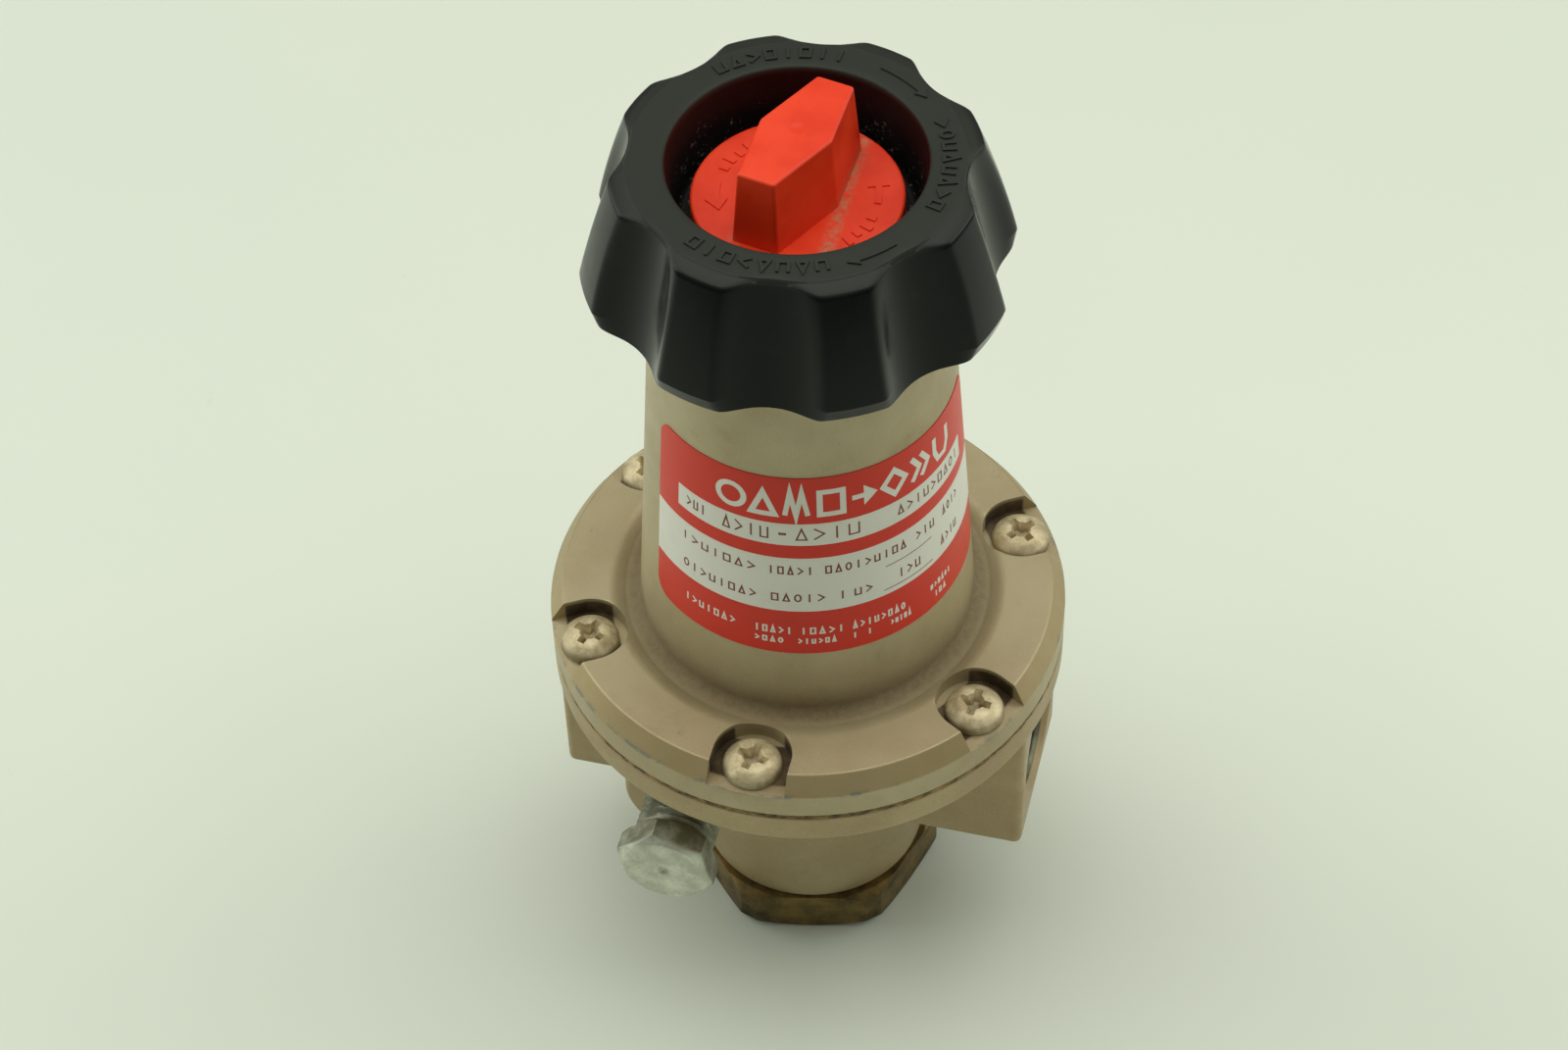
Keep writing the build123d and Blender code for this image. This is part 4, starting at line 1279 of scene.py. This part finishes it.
def symbol_row():
    """Bold signs from circuit diagrams, one to each place: a gauge, a flow arrow, a spring and others."""
    low, high = SIGNS_LOW, SIGNS_HIGH
    middle = (low + high) / 2
    foot, head = low + 0.4, high - 0.4
    right, half = 3.9, STROKE / 2
    zigzag = [(0.2, foot), (1.0, head), (1.9, foot), (2.8, head), (3.7, foot)]
    square = box_path(0.3, right, low + 0.45, high - 0.45)
    arrow = [(0.1, middle - half), (2.0, middle - half), (2.0, low + 0.7), (4.3, middle)]
    arrow += [(2.0, high - 0.7), (2.0, middle + half), (0.1, middle + half)]
    diamond = [(0.0, middle), (2.1, low + 0.3), (4.2, middle), (2.1, high - 0.3)]
    chevron = [(0.3, foot), (1.9, middle), (0.3, head)]
    second = [(x + 2.0, y) for x, y in chevron]
    cup = [(0.4, high - 0.2), (0.4, middle - 0.4), (1.2, low + 0.5)]
    cup += [(3.2, low + 0.5), (4.0, middle - 0.4), (4.0, high - 0.2)]
    lined = (
        (0, circle_path(2.1, middle, 2.15), STROKE, True),
        (1, [(0.2, foot), (right, foot), (2.05, high - 0.7)], STROKE, True),
        (2, zigzag, STROKE * 0.85, False),
        (3, square, STROKE, True),
        (4, arrow, 0, True),
        (5, diamond, STROKE, True),
        (6, chevron, STROKE, False),
        (6, second, STROKE, False),
        (7, cup, STROKE, False),
    )
    signs = []
    for k, points, stroke, closed in lined:
        left = SIGNS_START * DEGREE + k * SIGN_PITCH * DEGREE
        outline = [(left + x, y) for x, y in points]
        if stroke:
            signs.append(ribbon(outline, stroke, PRINT, closed))
        else:
            signs.append(plate(outline, 0, PRINT))
    return signs


# Rows of small signs on the label: where each starts and ends, its level, height and number.
WHITE_ROWS = (
    (-122, -100, 87.9, 1.5, 7),
    (-94, -80, 87.9, 1.5, 5),
    (-78, -62, 87.9, 1.5, 5),
    (-60, -39, 87.9, 1.5, 8),
    (-94, -83, 85.8, 1.2, 4),
    (-79, -65, 85.8, 1.2, 6),
    (-60, -58, 85.8, 1.2, 1),
    (-55, -52, 85.8, 1.2, 1),
    (-46, -37, 85.8, 1.2, 5),
    (-28, -16, 87.6, 1.2, 6),
    (-26, -19, 85.4, 1.2, 3),
)
DARK_ROWS = (
    (-122, -112, 108.6, 2.0, 3),
    (-106, -87, 108.4, 2.5, 4),
    (-85, -81, 109.4, 0.5, 1),
    (-79, -54, 108.4, 2.5, 4),
    (-41, -4, 108.7, 1.9, 9),
    (-124, -92, 101.0, 1.7, 7),
    (-89, -72, 101.0, 1.7, 5),
    (-69, -37, 101.0, 1.7, 9),
    (-33.6, -23, 101.0, 1.8, 3),
    (-19, -7, 101.0, 1.8, 4),
    (-123, -92, 95.1, 1.7, 8),
    (-88, -68, 95.1, 1.7, 5),
    (-64, -61.5, 95.1, 1.7, 1),
    (-59, -51, 95.1, 1.7, 2),
    (-42, -31, 95.3, 1.9, 3),
    (-21, -9, 95.2, 1.8, 4),
)
RULED_LINES = ((-47, -26, 99.0), (-48, -26, 94.0))


def printed(start, end, low, high, corner, steps, thickness):
    """A flat box of print between two angles and two levels, its corners rounded."""
    corners = [(x, y, corner) for x, y in box_path(start * DEGREE, end * DEGREE, low, high)]
    return plate(rounded_path(corners, True, steps), 0, thickness)


def make_label():
    film = printed(LABEL_START, LABEL_END, label_low.z, label_high.z, LABEL_CORNER, 8, FILM)
    base = label_piece("label_film", [film], 0.0, label_red)
    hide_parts("nameplate")
    strip = printed(-126.3, -2.0, 107.3, 111.8, 0.15, 2, BAND)
    field = printed(LABEL_START, LABEL_END, 93.0, 104.5, 0.05, 2, BAND)
    label_piece("label_bands", [strip, field], 0.1, label_white)
    white = symbol_row() + [sign for row in WHITE_ROWS for sign in word(*row)]
    label_piece("label_white_print", white, 0.12, label_white)
    dark = [sign for row in DARK_ROWS for sign in word(*row)]
    for start, end, level in RULED_LINES:
        dark.append(printed(start, end, level, level + 0.16, 0.05, 1, PRINT))
    label_piece("label_dark_print", dark, 0.14, label_ink)


make_bonnet()
make_body()
make_port_threads()
make_screws()
make_seam()
make_cap()
make_gauge_plug()
make_knob()
make_knob_marks()
make_lock()
make_lock_marks()
make_label()

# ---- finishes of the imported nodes

FINISHES = (
    (seal_finish, ("bottom_cap_seal", "poppet_seal")),
    (zinc_finish, ("rear_gauge_plug", "gauge_port_plug")),
    (brass_inner, ("valve_seat", "valve_poppet", "relief_hub")),
    (steel_finish, ("valve_stem", "diaphragm_upper_plate", "diaphragm_lower_plate", "hub_nut")),
    (steel_finish, ("spring_nut", "adjusting_screw", "thrust_washer", "lock_stem")),
    (spring_finish, ("valve_spring", "range_spring", "knob_retaining_ring")),
    (bronze_finish, ("bonnet_bushing",)),
    (body_enamel_in_shade, ("body",)),
    (enamel, ("bonnet",)),
    (screw_finish, ("bonnet_screws",)),
    (brass_finish, ("bottom_cap",)),
    (diaphragm_finish, ("diaphragm",)),
    (knob_finish, ("adjusting_knob",)),
    (wing_finish, ("lock_button",)),
    (label_red, ("nameplate",)),
)
for finish, nodes in FINISHES:
    for node in nodes:
        materials = frame["nodes"][node].data.materials
        materials.clear()
        materials.append(finish)


# ---- floor, lights and camera

# Places here are in metres.
CAMERA_PLACE = Vector((0.09502, -0.35965, 0.52117))
CAMERA_AIM = Vector((-0.00334, -0.00092, 0.08353))
CAMERA_LENS = 83.9
CAMERA_ROLL = math.radians(-1.861)
CAMERA_TURN = 14.8
FLOOR_COLOUR = (0.74, 0.79, 0.69)
FLOOR_SHADE = (0.70, 0.76, 0.66)
FLOOR_SIZE = 4.0
LIGHT_AIM = (0.0, 0.0, 0.09)
SKY_COLOUR = (0.93, 1.0, 0.88)
SKY_STRENGTH = 0.13


def pale_floor():
    s = Shader("pale_floor")
    cloud = s.noise(3.0, 4.0)
    scuff = s.noise(60.0, 6.0, 0.7)
    tone = s.mix(s.step(cloud, 0.3, 0.7), FLOOR_COLOUR, FLOOR_SHADE)
    tone = s.mix(s.step(scuff, 0.66, 0.78, 0.0, 0.25), tone, (0.50, 0.55, 0.47))
    s.set(Base_Color=tone, Roughness=0.6)
    return s.material


def make_floor():
    bm = bmesh.new()
    bmesh.ops.create_grid(bm, x_segments=1, y_segments=1, size=FLOOR_SIZE)
    floor = as_object("floor", bm)
    floor.data.materials.append(pale_floor())


def area_light(name, place, size, power, tint):
    data = bpy.data.lights.new(name, "AREA")
    data.shape = "RECTANGLE"
    data.size, data.size_y = size
    data.energy = power
    data.color = tint
    lamp = in_scene(name, data)
    lamp.location = place
    lamp.rotation_euler = (Vector(LIGHT_AIM) - Vector(place)).to_track_quat("-Z", "Y").to_euler()


def view_space(right, up, back):
    """A place given from the viewer's side: right, up and away, in metres."""
    turn = math.radians(CAMERA_TURN)
    return (
        right * math.cos(turn) - back * math.sin(turn),
        right * math.sin(turn) + back * math.cos(turn),
        up,
    )


def make_camera():
    forward = (CAMERA_AIM - CAMERA_PLACE).normalized()
    level_right = forward.cross(Vector((0, 0, 1))).normalized()
    level_up = level_right.cross(forward)
    right = level_right * math.cos(CAMERA_ROLL) + level_up * math.sin(CAMERA_ROLL)
    up = level_up * math.cos(CAMERA_ROLL) - level_right * math.sin(CAMERA_ROLL)
    data = bpy.data.cameras.new("camera")
    data.lens = CAMERA_LENS
    data.sensor_width = 36.0
    data.clip_start = 0.01
    camera = in_scene("camera", data)
    axes = Matrix((right, up, -forward)).transposed().to_4x4()
    camera.matrix_world = Matrix.Translation(CAMERA_PLACE) @ axes
    bpy.context.scene.camera = camera


def make_world():
    world = bpy.data.worlds.new("studio")
    world.use_nodes = True
    background = world.node_tree.nodes["Background"]
    background.inputs["Color"].default_value = (*SKY_COLOUR, 1.0)
    background.inputs["Strength"].default_value = SKY_STRENGTH
    bpy.context.scene.world = world


make_floor()
make_world()
make_camera()
area_light("overhead", view_space(0.0, 1.0, 0.12), (1.4, 1.0), 8.8, (1.0, 1.0, 0.93))
area_light("front_fill", view_space(0.1, 0.75, -0.8), (0.8, 0.5), 0.5, (1.0, 0.98, 0.92))
area_light("left_window", view_space(-0.85, 0.45, 0.25), (0.7, 0.7), 3.4, (0.97, 1.0, 0.95))
area_light("right_window", view_space(0.85, 0.5, 0.2), (0.7, 0.6), 2.8, (1.0, 1.0, 0.94))
bpy.context.scene.view_settings.view_transform = "Standard"
